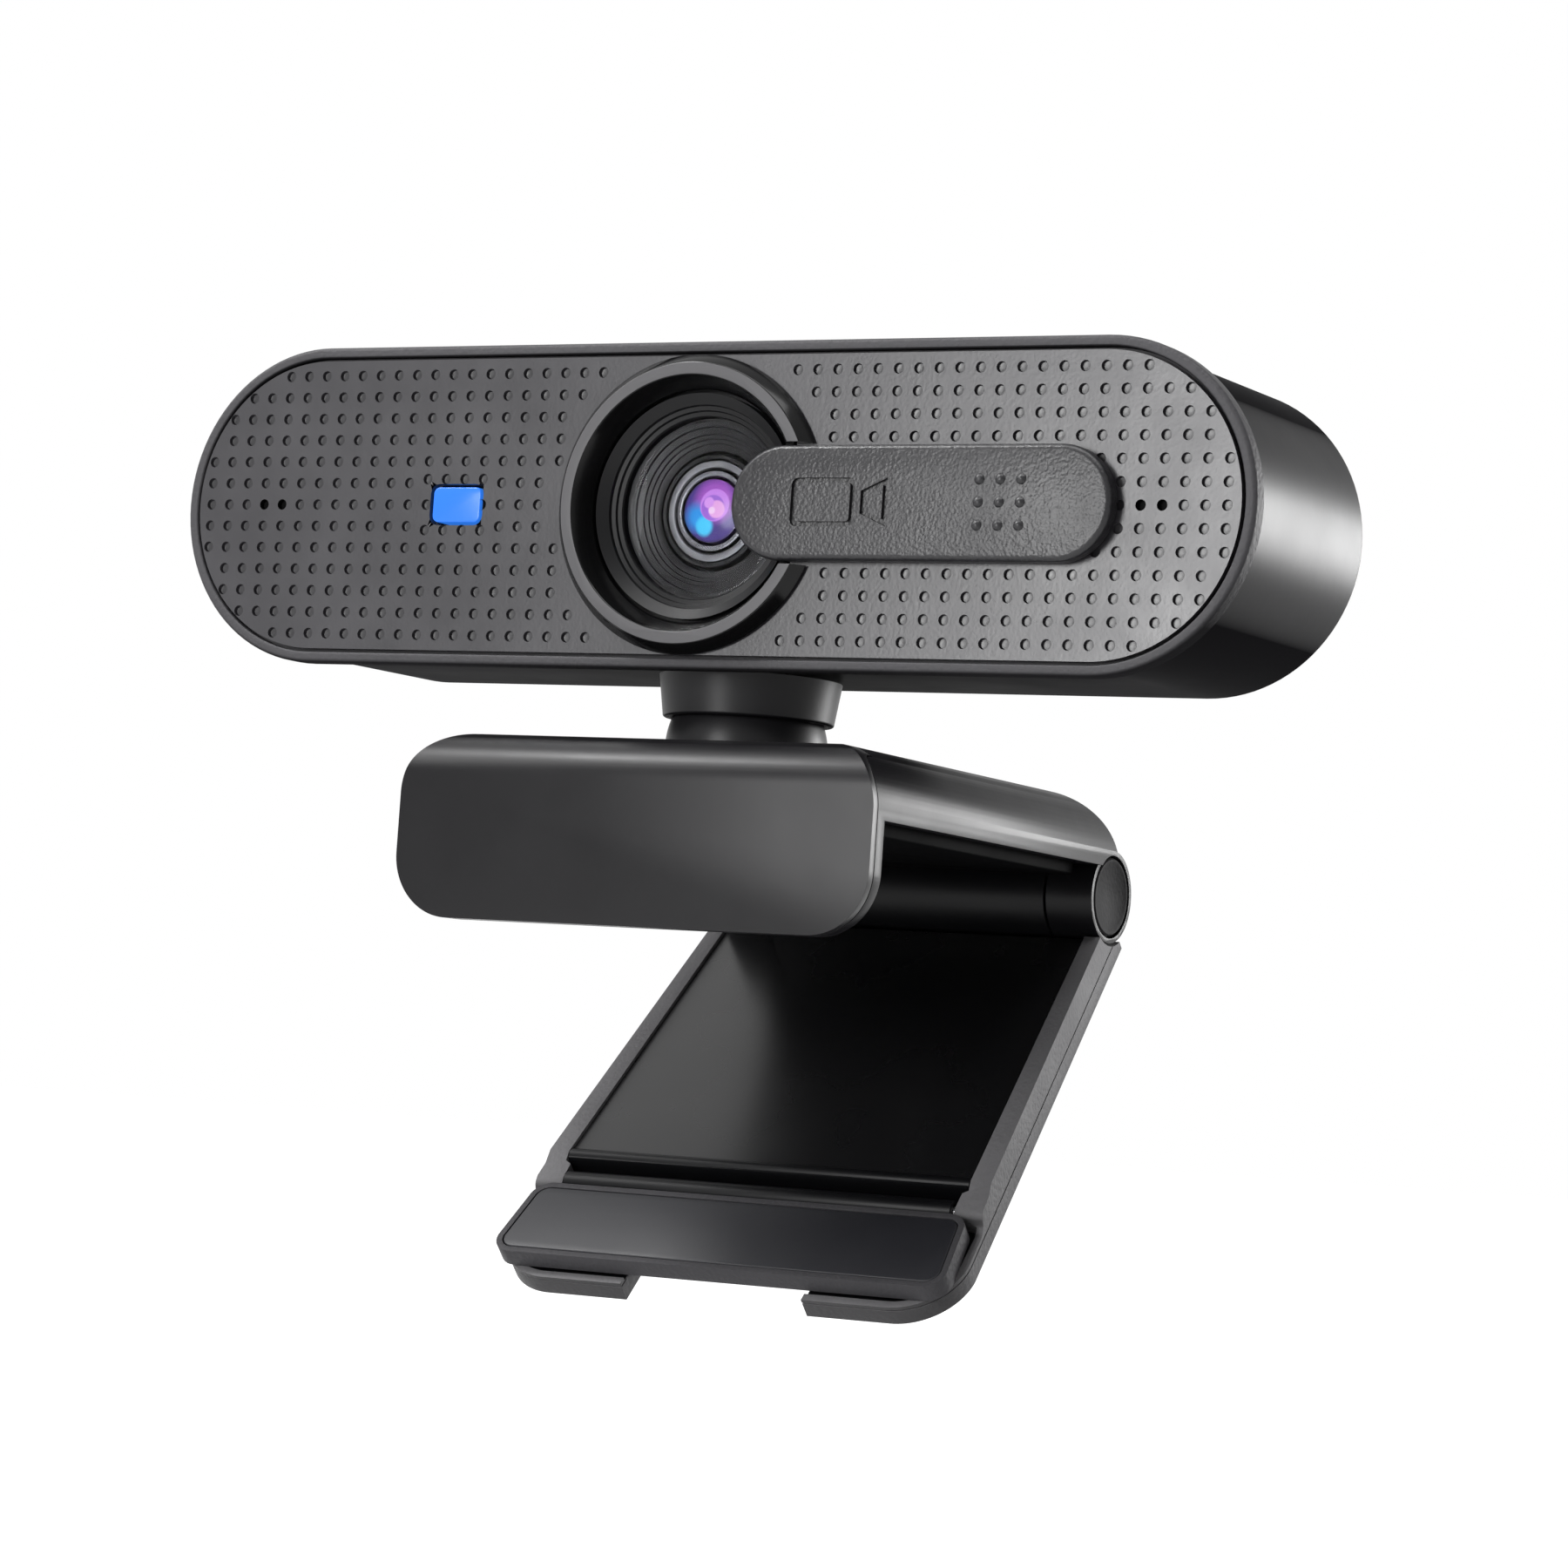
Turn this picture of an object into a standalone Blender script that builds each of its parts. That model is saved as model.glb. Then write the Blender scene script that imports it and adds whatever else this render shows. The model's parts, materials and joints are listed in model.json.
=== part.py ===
"""Clip-on webcam: a stadium-shaped head on a pan and tilt neck, over a folding monitor clip.

World frame, in metres: +X is the object's right as seen from in front, the lens looks along -Y, +Z is up.
The origin is on the clip's flat underside, straight below the neck, where it rests on a screen's top edge.
"""

import math

import bmesh
import bpy
from mathutils import Matrix, Vector

MM = 0.001

# Clearances
GAP = 0.3 * MM  # between separate pieces that face each other
FINE_GAP = 0.15 * MM  # between nested turned pieces and round a pin
OVERCUT = 2.0 * MM  # how far a cutter runs past the faces it opens
WELD = 0.001 * MM

# Facets
CORNER_STEPS = 5  # per quarter of a rounded corner
WIDE_STEPS = 9  # per quarter of the head's round ends
RING_STEPS = 40
SMALL_STEPS = 16
TINY_STEPS = 10
BROW_STEPS = 8
CIRCLE_START = 0.03  # quarter turns

# Head
HEAD_HALF_WIDTH = 54.6 * MM
HEAD_HALF_HEIGHT = 14.7 * MM
RIM_WIDTH = 1.0 * MM
BEZEL_FLOOR = 0.8 * MM
PANEL_THICKNESS = 0.7 * MM
SHELL_INSET_SIDE = 0.6 * MM
SHELL_INSET_TOP = 0.8 * MM
SHELL_BACK = 25.5 * MM
SHELL_WALL = 1.6 * MM
SHELL_EDGE_RADIUS = 0.8 * MM
HEAD_BOTTOM = 15.0 * MM  # underside of the head's shell above the rest face
PANEL_AHEAD = 13.1 * MM  # panel front ahead of the neck's axis
BOSS_X, BOSS_Z, BOSS_RADIUS = 36.0 * MM, 7.4 * MM, 2.4 * MM
SCREW_RADIUS, SCREW_HEAD_RADIUS, SCREW_HEAD = 0.8 * MM, 1.7 * MM, 0.4 * MM
SCREW_LENGTH = 8.0 * MM

# Lens
RING_RADIUS = 13.5 * MM
RING_FRONT_RADIUS = 12.6 * MM
RING_PROUD = 1.55 * MM
RING_BAND = 1.1 * MM
RING_BORE = 10.45 * MM
RING_BORE_START = 0.55 * MM
RING_STEM = 11.4 * MM
FLANGE_THICKNESS = 0.8 * MM
BAFFLE_GLASS_DEPTH = 2.2 * MM
GLASS_RADIUS, GLASS_THICKNESS = 7.9 * MM, 0.6 * MM
BAFFLE_THROAT = 6.6 * MM
BAFFLE_BACK = 6.0 * MM
BARREL_RADIUS, BARREL_FRONT, BARREL_LENGTH = 5.1 * MM, 4.0 * MM, 7.0 * MM
BARREL_BORE, BARREL_LIP, BARREL_LIP_DEPTH = 3.9 * MM, 4.7 * MM, 1.0 * MM
RETAINER_INNER = 3.75 * MM
SEAT_INNER, SEAT_DEPTH = 3.0 * MM, 2.2 * MM
DOME_RISE, ELEMENT_THICKNESS = 0.35 * MM, 1.6 * MM
REAR_ELEMENT_DEPTH, REAR_ELEMENT_THICKNESS = 7.2 * MM, 1.4 * MM

# Electronics
PCB_DEPTH, PCB_THICKNESS = 12.6 * MM, 1.2 * MM
PCB_HALF_WIDTH, PCB_HALF_HEIGHT, PCB_RAISE = 33.0 * MM, 8.5 * MM, 1.5 * MM
PCB_SCREW_X = 28.0 * MM
HOLDER_HALF, HOLDER_DEPTH = 7.0 * MM, 4.0 * MM
FILTER_HALF, FILTER_THICKNESS = 3.2 * MM, 0.3 * MM
SENSOR_HALF_WIDTH, SENSOR_HALF_HEIGHT, SENSOR_THICKNESS = 3.8 * MM, 3.0 * MM, 0.4 * MM
CHIP_HALF, CHIP_THICKNESS, CHIP_X = 5.0 * MM, 1.0 * MM, 13.0 * MM
SOCKET_HALF_WIDTH, SOCKET_HALF_HEIGHT, SOCKET_DEPTH, SOCKET_X = 5.0 * MM, 2.2 * MM, 4.0 * MM, -10.0 * MM
LED_X, LED_HALF_WIDTH, LED_HALF_HEIGHT, LED_THICKNESS = -24.7 * MM, 1.5 * MM, 0.8 * MM, 0.6 * MM
WINDOW_HALF_WIDTH, WINDOW_HALF_HEIGHT, WINDOW_CORNER = 2.55 * MM, 1.6 * MM, 0.6 * MM
MIC_X, MIC_HOLE_PITCH, MIC_HOLE_RADIUS = 45.0 * MM, 2.0 * MM, 0.5 * MM
MIC_RADIUS, MIC_LENGTH, GASKET_WALL, GASKET_LIP = 2.0 * MM, 2.4 * MM, 1.1 * MM, 0.4 * MM
INLET_BORE, INLET_RADIUS, INLET_FLANGE, INLET_PROUD = 1.7 * MM, 2.7 * MM, 3.8 * MM, 2.0 * MM

# Privacy shutter
SHUTTER_LEFT, SHUTTER_LENGTH, SHUTTER_HALF_HEIGHT = 5.0 * MM, 37.0 * MM, 5.1 * MM
SHUTTER_THICKNESS, SHUTTER_EDGE = 1.5 * MM, 0.35 * MM
SHUTTER_TRAVEL = 10.0 * MM
TAB_X, TAB_HALF_LENGTH, TAB_HALF_HEIGHT = 28.5 * MM, 2.3 * MM, 1.4 * MM
CATCH_MARGIN_X, CATCH_MARGIN_Z, CATCH_THICKNESS = 1.4 * MM, 1.45 * MM, 0.6 * MM

# Neck
DOME_RADIUS, DOME_CENTRE = 7.4 * MM, 8.2 * MM
DOME_TOP, DOME_BORE = 5.2 * MM, 4.4 * MM
STEM_RADIUS, STEM_BORE, STEM_BOTTOM = 5.4 * MM, 3.6 * MM, 4.0 * MM
GROOVE_DEPTH, CIRCLIP_THICKNESS, CIRCLIP_RADIUS = 0.6 * MM, 0.6 * MM, 7.4 * MM
COLLAR_OVERHANG, COLLAR_FLARE, COLLAR_BOTTOM = 0.4 * MM, 0.55 * MM, 2.6 * MM
TILT_LIMIT = math.radians(15)
TILT_SCREW_RADIUS, TILT_HEAD_RADIUS, TILT_HEAD = 1.2 * MM, 2.3 * MM, 1.0 * MM
WASHER_THICKNESS, WASHER_SPREAD = 0.7 * MM, math.radians(38)
NUT_RADIUS, NUT_HEIGHT = 3.0 * MM, 2.2 * MM
SPRING_WIRE, SPRING_RADIUS, SPRING_TURNS = 0.25 * MM, 1.75 * MM, 3

# Clip bridge
BRIDGE_TOP = 7.7 * MM
BRIDGE_FRONT = -19.8 * MM
BRIDGE_HALF_WIDTH = 24.0 * MM  # at the front face
BRIDGE_CORNER = 5.7 * MM
BRIDGE_BROW = 3.9 * MM  # radius that rolls the front face back to the top
BRIDGE_WALL = 1.5 * MM
BRIDGE_REAR_RADIUS = 10.0 * MM
BLOCK_BOTTOM = -9.1 * MM
BLOCK_THICKNESS = 1.3 * MM
STOP_RELIEF = 0.15 * MM  # sets the screen's stop off from the wall above it
CAP_THICKNESS, CAP_LEVEL = 0.9 * MM, 0.25 * MM  # the second is how far its top runs on behind the roll
SKIRT_BOTTOM = 1.1 * MM
COVER_THICKNESS = 1.5 * MM
COVER_INSET = 2.0 * MM
COVER_SCREWS_Y = {"front": -11.5 * MM, "rear": 20.0 * MM}
COVER_SCREW_LENGTH = 4.4 * MM

# Hinge
HINGE_Y, HINGE_Z = 35.8 * MM, -1.75 * MM
HINGE_HALF_WIDTH = 20.6 * MM
BARREL_OUTER, PIN_RADIUS = 4.4 * MM, 1.5 * MM
KNUCKLE_SEAM = 15.5 * MM
PIN_INSET = 1.2 * MM
HINGE_CAP_RADIUS, HINGE_CAP_THICKNESS = 3.7 * MM, 0.5 * MM
BUSH_LENGTH, BUSH_WALL = 6.0 * MM, 1.0 * MM

# Leg, measured from the hinge's axis: along the leg, and off its plane towards the screen
LEG_ANGLE = math.radians(44)  # from folded flat under the bridge
LEG_BACK, LEG_PLATE, LEG_INNER = -5.37 * MM, 1.6 * MM, -1.1 * MM
LEG_START = 1.2 * MM
LEG_CORNER = 6.0 * MM
NOTCH_HALF_WIDTH, NOTCH_DEPTH, NOTCH_CORNER = 9.4 * MM, 4.5 * MM, 0.8 * MM
RAIL_WIDTH, RAIL_END = 1.8 * MM, 39.3 * MM
PANEL_INSET, LIP_RADIUS = 0.5 * MM, 0.7 * MM
TOE_THICKNESS, TOE_TOP, TOE_END = 0.8 * MM, -2.3 * MM, 17.0 * MM

# Flap
PIVOT_ALONG, PIVOT_OFF = 41.2 * MM, -2.45 * MM
PIVOT_BARREL, PIVOT_PIN = 1.05 * MM, 0.5 * MM
EAR_INNER, EAR_TOP, EAR_END = 20.6 * MM, -1.6 * MM, 42.0 * MM
FLAP_START, FLAP_TOP, FLAP_THICKNESS = 42.4 * MM, -1.45 * MM, 1.8 * MM
FLAP_MARGIN, FLAP_CORNER = 0.45 * MM, 2.0 * MM
PAD_BORDER, PAD_DEPTH, PAD_CORNER = 0.6 * MM, 0.9 * MM, 1.4 * MM

# Values worked out from the ones above
TAPER = (BRIDGE_HALF_WIDTH - HINGE_HALF_WIDTH) / (HINGE_Y - BRIDGE_FRONT)
SHELL_HALF_WIDTH = HEAD_HALF_WIDTH - SHELL_INSET_SIDE
SHELL_HALF_HEIGHT = HEAD_HALF_HEIGHT - SHELL_INSET_TOP
FLOOR_FRONT = PANEL_THICKNESS + GAP
BEZEL_DEPTH = FLOOR_FRONT + BEZEL_FLOOR
SHELL_FRONT = BEZEL_DEPTH + GAP
SHELL_FLOOR = -SHELL_HALF_HEIGHT
LENS_HEIGHT = HEAD_BOTTOM + SHELL_HALF_HEIGHT
LENS_HOLE = RING_STEM + GAP
FLANGE_RADIUS = SHELL_HALF_HEIGHT - SHELL_WALL - GAP
COLLAR_RADIUS = DOME_RADIUS + COLLAR_OVERHANG
SHAFT_BORE = PIN_RADIUS + GAP
PIVOT_BORE = PIVOT_PIN + FINE_GAP
CAP_BACK = BRIDGE_FRONT + CAP_THICKNESS
BROW_Y, BROW_Z = BRIDGE_FRONT + BRIDGE_BROW, BRIDGE_TOP - BRIDGE_BROW
CAP_END = BROW_Y + CAP_LEVEL  # where the cap's rolled top meets the bridge's
BLOCK_FRONT = CAP_BACK + GAP
BLOCK_BACK = BLOCK_FRONT + BLOCK_THICKNESS
COVER_BACK = HINGE_Y - BARREL_OUTER - 2 * GAP
LEG_LENGTH = HINGE_Y - BLOCK_BACK - GAP
LEG_FLOOR = LEG_BACK + LEG_PLATE


def half_width_at(distance):
    """Half width of the clip at a distance from the hinge's axis: the leg folds into the bridge's outline."""
    return HINGE_HALF_WIDTH + TAPER * distance


def clear_scene():
    for obj in list(bpy.data.objects):
        bpy.data.objects.remove(obj, do_unlink=True)


def new_collection(name):
    collection = bpy.data.collections.new(name)
    bpy.context.scene.collection.children.link(collection)
    return collection


def new_material(name, colour, roughness, metallic=0.0):
    material = bpy.data.materials.new(name)
    material.use_nodes = True
    shader = material.node_tree.nodes["Principled BSDF"]
    shader.inputs["Base Color"].default_value = (*colour, 1.0)
    shader.inputs["Roughness"].default_value = roughness
    shader.inputs["Metallic"].default_value = metallic
    return material


def new_frame(name, location, parent=None):
    frame = bpy.data.objects.new(name, None)
    frame.location = location
    frame.parent = parent
    PARTS.objects.link(frame)
    return frame


# Outlines, as lists of points that run anticlockwise


def arc(centre, radius, start, end, steps):
    """Points of an arc, with its angles in quarter turns."""
    points = []
    for step in range(steps + 1):
        angle = (start + (end - start) * step / steps) * math.pi / 2
        points.append((centre[0] + radius * math.cos(angle), centre[1] + radius * math.sin(angle)))
    return points


def circle(centre, radius, steps):
    """A full turn that starts a little off the axis, so that equal circles in a row share no edge line."""
    return arc(centre, radius, CIRCLE_START, 4 + CIRCLE_START, steps)[:-1]


def rounded(half_width, half_height, radius, centre=(0, 0), steps=CORNER_STEPS):
    """A rectangle with round corners."""
    dx, dy = half_width - radius, half_height - radius
    points = []
    for quarter, (sx, sy) in enumerate(((1, 1), (-1, 1), (-1, -1), (1, -1))):
        corner = (centre[0] + sx * dx, centre[1] + sy * dy)
        points += arc(corner, radius, quarter, quarter + 1, steps)
    return points


def stadium(half_width, half_height, centre=(0, 0), steps=WIDE_STEPS):
    """Straight sides between half-round ends."""
    reach = half_width - half_height
    right = arc((centre[0] + reach, centre[1]), half_height, -1, 1, 2 * steps)
    return right + arc((centre[0] - reach, centre[1]), half_height, 1, 3, 2 * steps)


# Meshes

PLANES = {
    "XY": Matrix.Identity(4),
    "XZ": Matrix(((1, 0, 0, 0), (0, 0, -1, 0), (0, 1, 0, 0), (0, 0, 0, 1))),
    "YZ": Matrix(((0, 0, 1, 0), (1, 0, 0, 0), (0, 1, 0, 0), (0, 0, 0, 1))),
}


def slab_mesh(name, loops, low, high, plane="XZ"):
    """A flat outline with its holes, extruded square to its plane between two places on the third axis.

    It is filled at a thousand times its size, where the fill's own tolerance is small beside the outline.
    """
    curve = bpy.data.curves.new(name, "CURVE")
    curve.dimensions = "2D"
    curve.fill_mode = "BOTH"
    curve.extrude = (high - low) / 2 / MM
    for points in loops:
        spline = curve.splines.new("POLY")
        spline.points.add(len(points) - 1)
        for point, (x, y) in zip(spline.points, points):
            point.co = (x / MM, y / MM, 0, 1)
        spline.use_cyclic_u = True
    guide = bpy.data.objects.new(name, curve)
    bpy.context.scene.collection.objects.link(guide)
    graph = bpy.context.evaluated_depsgraph_get()
    mesh = bpy.data.meshes.new_from_object(guide.evaluated_get(graph))
    bpy.data.objects.remove(guide, do_unlink=True)
    bpy.data.curves.remove(curve)
    middle = (low + high) / 2
    shift = Matrix.Translation((0, 0, -middle if plane == "XZ" else middle))
    shape = bmesh.new()
    shape.from_mesh(mesh)
    bmesh.ops.remove_doubles(shape, verts=shape.verts, dist=WELD / MM)
    bmesh.ops.transform(shape, matrix=PLANES[plane] @ shift @ Matrix.Scale(MM, 4), verts=shape.verts)
    bmesh.ops.dissolve_limit(shape, angle_limit=math.radians(1), verts=shape.verts, edges=shape.edges)
    bmesh.ops.recalc_face_normals(shape, faces=shape.faces)
    shape.to_mesh(mesh)
    shape.free()
    mesh.name = name
    return mesh


def box_mesh(name, low, high):
    shape = bmesh.new()
    bmesh.ops.create_cube(shape, size=1)
    size = [b - a for a, b in zip(low, high)]
    middle = [(a + b) / 2 for a, b in zip(low, high)]
    bmesh.ops.transform(shape, matrix=Matrix.Translation(middle) @ Matrix.Diagonal((*size, 1)), verts=shape.verts)
    mesh = bpy.data.meshes.new(name)
    shape.to_mesh(mesh)
    shape.free()
    return mesh


def rods_mesh(name, places, radius, low, high, axis, steps=SMALL_STEPS):
    """Equal round rods along one axis, one at each place in the other two."""
    turn = {"X": Matrix.Rotation(math.pi / 2, 4, "Y"), "Y": Matrix.Rotation(-math.pi / 2, 4, "X")}.get(axis)
    shape = bmesh.new()
    for first, second in places:
        middle = (low + high) / 2
        centre = {"X": (middle, first, second), "Y": (first, middle, second), "Z": (first, second, middle)}[axis]
        matrix = Matrix.Translation(centre) @ (turn or Matrix.Identity(4))
        bmesh.ops.create_cone(
            shape, cap_ends=True, segments=steps, radius1=radius, radius2=radius, depth=high - low, matrix=matrix
        )
    mesh = bpy.data.meshes.new(name)
    shape.to_mesh(mesh)
    shape.free()
    return mesh


# Objects


def add(name, mesh, material, parent, location=(0, 0, 0)):
    obj = bpy.data.objects.new(name, mesh)
    mesh.materials.append(material)
    obj.location = location
    obj.parent = parent
    PARTS.objects.link(obj)
    return obj


def turned(name, profile, material, parent, location=(0, 0, 0), axis="Y", steps=RING_STEPS, closed=True):
    """A closed profile of (radius, place along the axis), turned about it: down its outer side, back up the inner."""
    mesh = bpy.data.meshes.new(name)
    edges = [(i, i + 1) for i in range(len(profile) - 1)]
    if closed:
        edges.append((len(profile) - 1, 0))
    mesh.from_pydata([(radius, 0, height) for radius, height in profile], edges, [])
    obj = add(name, mesh, material, parent, location)
    screw = obj.modifiers.new("turn", "SCREW")
    screw.steps = screw.render_steps = steps
    screw.use_merge_vertices = True
    screw.merge_threshold = WELD
    screw.use_smooth_shade = True
    if axis == "Y":
        obj.rotation_euler = (math.pi / 2, 0, 0)
    elif axis == "X":
        obj.rotation_euler = (0, math.pi / 2, 0)
    return obj


def deep(profile):
    """A head profile given as (radius, depth behind the panel), for turning about the lens's axis."""
    return [(radius, -depth) for radius, depth in profile]


def with_tool(obj, mesh, operation="DIFFERENCE"):
    """Cuts the object by a mesh in the object's parent frame, or joins the mesh to it."""
    tool = bpy.data.objects.new(f"{obj.name}_{operation.lower()}", mesh)
    tool.parent = obj.parent
    tool.hide_render = True
    tool.display_type = "WIRE"
    TOOLS.objects.link(tool)
    boolean = obj.modifiers.new(operation.lower(), "BOOLEAN")
    boolean.operation = operation
    boolean.object = tool
    return obj


def bevelled(obj, width, keep, segments=2):
    """Rounds the edges whose middle passes the test, on the object's own mesh."""
    shape = bmesh.new()
    shape.from_mesh(obj.data)
    edges = [edge for edge in shape.edges if keep((edge.verts[0].co + edge.verts[1].co) / 2)]
    bmesh.ops.bevel(
        shape, geom=edges, offset=width, offset_type="OFFSET", segments=segments, profile=0.5, affect="EDGES"
    )
    shape.to_mesh(obj.data)
    shape.free()
    return obj


def sphere_radius(radius, height):
    """Radius of a sphere's slice at a height from its centre."""
    return math.sqrt(radius**2 - height**2)


def sphere_arc(radius, low, high, steps):
    """(radius, height) points on a sphere's profile, from one height to another."""
    first, last = math.asin(low / radius), math.asin(high / radius)
    angles = [first + (last - first) * step / steps for step in range(steps + 1)]
    return [(radius * math.cos(angle), radius * math.sin(angle)) for angle in angles]


def screw_profile(head_radius, head, radius, length, tip=0.3 * MM):
    """Head at zero and up, shank below it, with a short cone at its tip."""
    return [
        (0, head), (head_radius - tip, head), (head_radius, head - tip), (head_radius, 0), (radius, 0),
        (radius, -length + tip), (radius - tip, -length), (0, -length),
    ]


# Head: local x to the right, y the depth behind the panel's front, z up from the lens's axis


def build_bezel(head):
    lens = circle((0, 0), LENS_HOLE, RING_STEPS)
    window = rounded(WINDOW_HALF_WIDTH + GAP, WINDOW_HALF_HEIGHT + GAP, WINDOW_CORNER, (LED_X, 0))
    low_x = TAB_X - TAB_HALF_LENGTH - CATCH_MARGIN_X - SHUTTER_TRAVEL - GAP
    high_x = TAB_X + TAB_HALF_LENGTH + CATCH_MARGIN_X + GAP
    catch = rounded((high_x - low_x) / 2, TAB_HALF_HEIGHT + CATCH_MARGIN_Z + GAP, WINDOW_CORNER,
                    ((low_x + high_x) / 2, 0))
    holes = [circle((x, 0), MIC_HOLE_RADIUS + FINE_GAP, TINY_STEPS) for x in mic_holes()]
    holes += [circle(place, SCREW_RADIUS + GAP, SMALL_STEPS) for place in boss_places()]
    outline = stadium(HEAD_HALF_WIDTH, HEAD_HALF_HEIGHT)
    mesh = slab_mesh("front_bezel", [outline, lens, window, catch, *holes], 0, BEZEL_DEPTH)
    bezel = add("front_bezel", mesh, TEXTURED, head)
    pocket = stadium(HEAD_HALF_WIDTH - RIM_WIDTH, HEAD_HALF_HEIGHT - RIM_WIDTH)
    with_tool(bezel, slab_mesh("bezel_pocket", [pocket], -OVERCUT, FLOOR_FRONT))
    sink = FLOOR_FRONT + SCREW_HEAD + FINE_GAP
    with_tool(bezel, rods_mesh("bezel_sinks", boss_places(), SCREW_HEAD_RADIUS + GAP, -OVERCUT, sink, "Y"))


def mic_holes():
    return [side * MIC_X + step * MIC_HOLE_PITCH / 2 for side in (-1, 1) for step in (-1, 1)]


def boss_places():
    return [(sx * BOSS_X, sz * BOSS_Z) for sx in (-1, 1) for sz in (-1, 1)]


def build_panel(head):
    inset = RIM_WIDTH + GAP
    outline = stadium(HEAD_HALF_WIDTH - inset, HEAD_HALF_HEIGHT - inset)
    lens = circle((0, 0), LENS_HOLE, RING_STEPS)
    window = rounded(WINDOW_HALF_WIDTH + GAP, WINDOW_HALF_HEIGHT + GAP, WINDOW_CORNER, (LED_X, 0))
    low_x, high_x = TAB_X - TAB_HALF_LENGTH - SHUTTER_TRAVEL - GAP, TAB_X + TAB_HALF_LENGTH + GAP
    slot = rounded((high_x - low_x) / 2, TAB_HALF_HEIGHT + GAP, WINDOW_CORNER, ((low_x + high_x) / 2, 0))
    mics = [circle((x, 0), MIC_HOLE_RADIUS, TINY_STEPS) for x in mic_holes()]
    mesh = slab_mesh("front_panel", [outline, lens, window, slot, *mics], 0, PANEL_THICKNESS)
    add("front_panel", mesh, PANEL_GREY, head)


def build_shell(head):
    outline = stadium(SHELL_HALF_WIDTH, SHELL_HALF_HEIGHT)
    shell = add("rear_shell", slab_mesh("rear_shell", [outline], SHELL_FRONT, SHELL_BACK), GLOSS, head)
    bevelled(shell, SHELL_EDGE_RADIUS, lambda middle: middle.y > SHELL_BACK - WELD, segments=4)
    inner = stadium(SHELL_HALF_WIDTH - SHELL_WALL, SHELL_HALF_HEIGHT - SHELL_WALL)
    back = SHELL_BACK - SHELL_WALL
    with_tool(shell, slab_mesh("shell_cavity", [inner], SHELL_FRONT - OVERCUT, back))
    bite = SHELL_WALL / 2
    with_tool(shell, rods_mesh("bezel_bosses", boss_places(), BOSS_RADIUS, SHELL_FRONT, back + bite, "Y"), "UNION")
    post_front = PCB_DEPTH + PCB_THICKNESS + GAP
    posts = rods_mesh("board_posts", pcb_screw_places(), BOSS_RADIUS, post_front, back + bite, "Y")
    with_tool(shell, posts, "UNION")
    pilot = SCREW_RADIUS + FINE_GAP
    deepest = FLOOR_FRONT + SCREW_LENGTH + 2 * GAP + SCREW_HEAD
    with_tool(shell, rods_mesh("boss_pilots", boss_places(), pilot, 0, deepest, "Y"))
    with_tool(shell, rods_mesh("post_pilots", pcb_screw_places(), pilot, PCB_DEPTH, PCB_DEPTH + SCREW_LENGTH, "Y"))
    hole = INLET_RADIUS + GAP
    with_tool(shell, rods_mesh("inlet_hole", [(0, 0)], hole, back - OVERCUT, SHELL_BACK + OVERCUT, "Y", 24))
    neck = [(0, PANEL_AHEAD)]
    hole = TILT_SCREW_RADIUS + GAP
    floor = (SHELL_FLOOR - OVERCUT, SHELL_FLOOR + SHELL_WALL + OVERCUT)
    with_tool(shell, rods_mesh("neck_screw_hole", neck, hole, *floor, "Z"))


def pcb_screw_places():
    return [(side * PCB_SCREW_X, PCB_RAISE) for side in (-1, 1)]


def build_fasteners(head):
    sides = {(-1, -1): "lower_left", (-1, 1): "upper_left", (1, -1): "lower_right", (1, 1): "upper_right"}
    profile = screw_profile(SCREW_HEAD_RADIUS, SCREW_HEAD, SCREW_RADIUS, SCREW_LENGTH - GAP)
    for (sx, sz), where in sides.items():
        place = (sx * BOSS_X, FLOOR_FRONT + SCREW_HEAD, sz * BOSS_Z)
        turned(f"bezel_screw_{where}", profile, STEEL, head, place, steps=SMALL_STEPS, closed=False)
    short = screw_profile(SCREW_HEAD_RADIUS, SCREW_HEAD, SCREW_RADIUS, SCREW_LENGTH / 2)
    for side, where in ((-1, "left"), (1, "right")):
        place = (side * PCB_SCREW_X, PCB_DEPTH - FINE_GAP, PCB_RAISE)
        turned(f"board_screw_{where}", short, STEEL, head, place, steps=SMALL_STEPS, closed=False)


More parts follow.
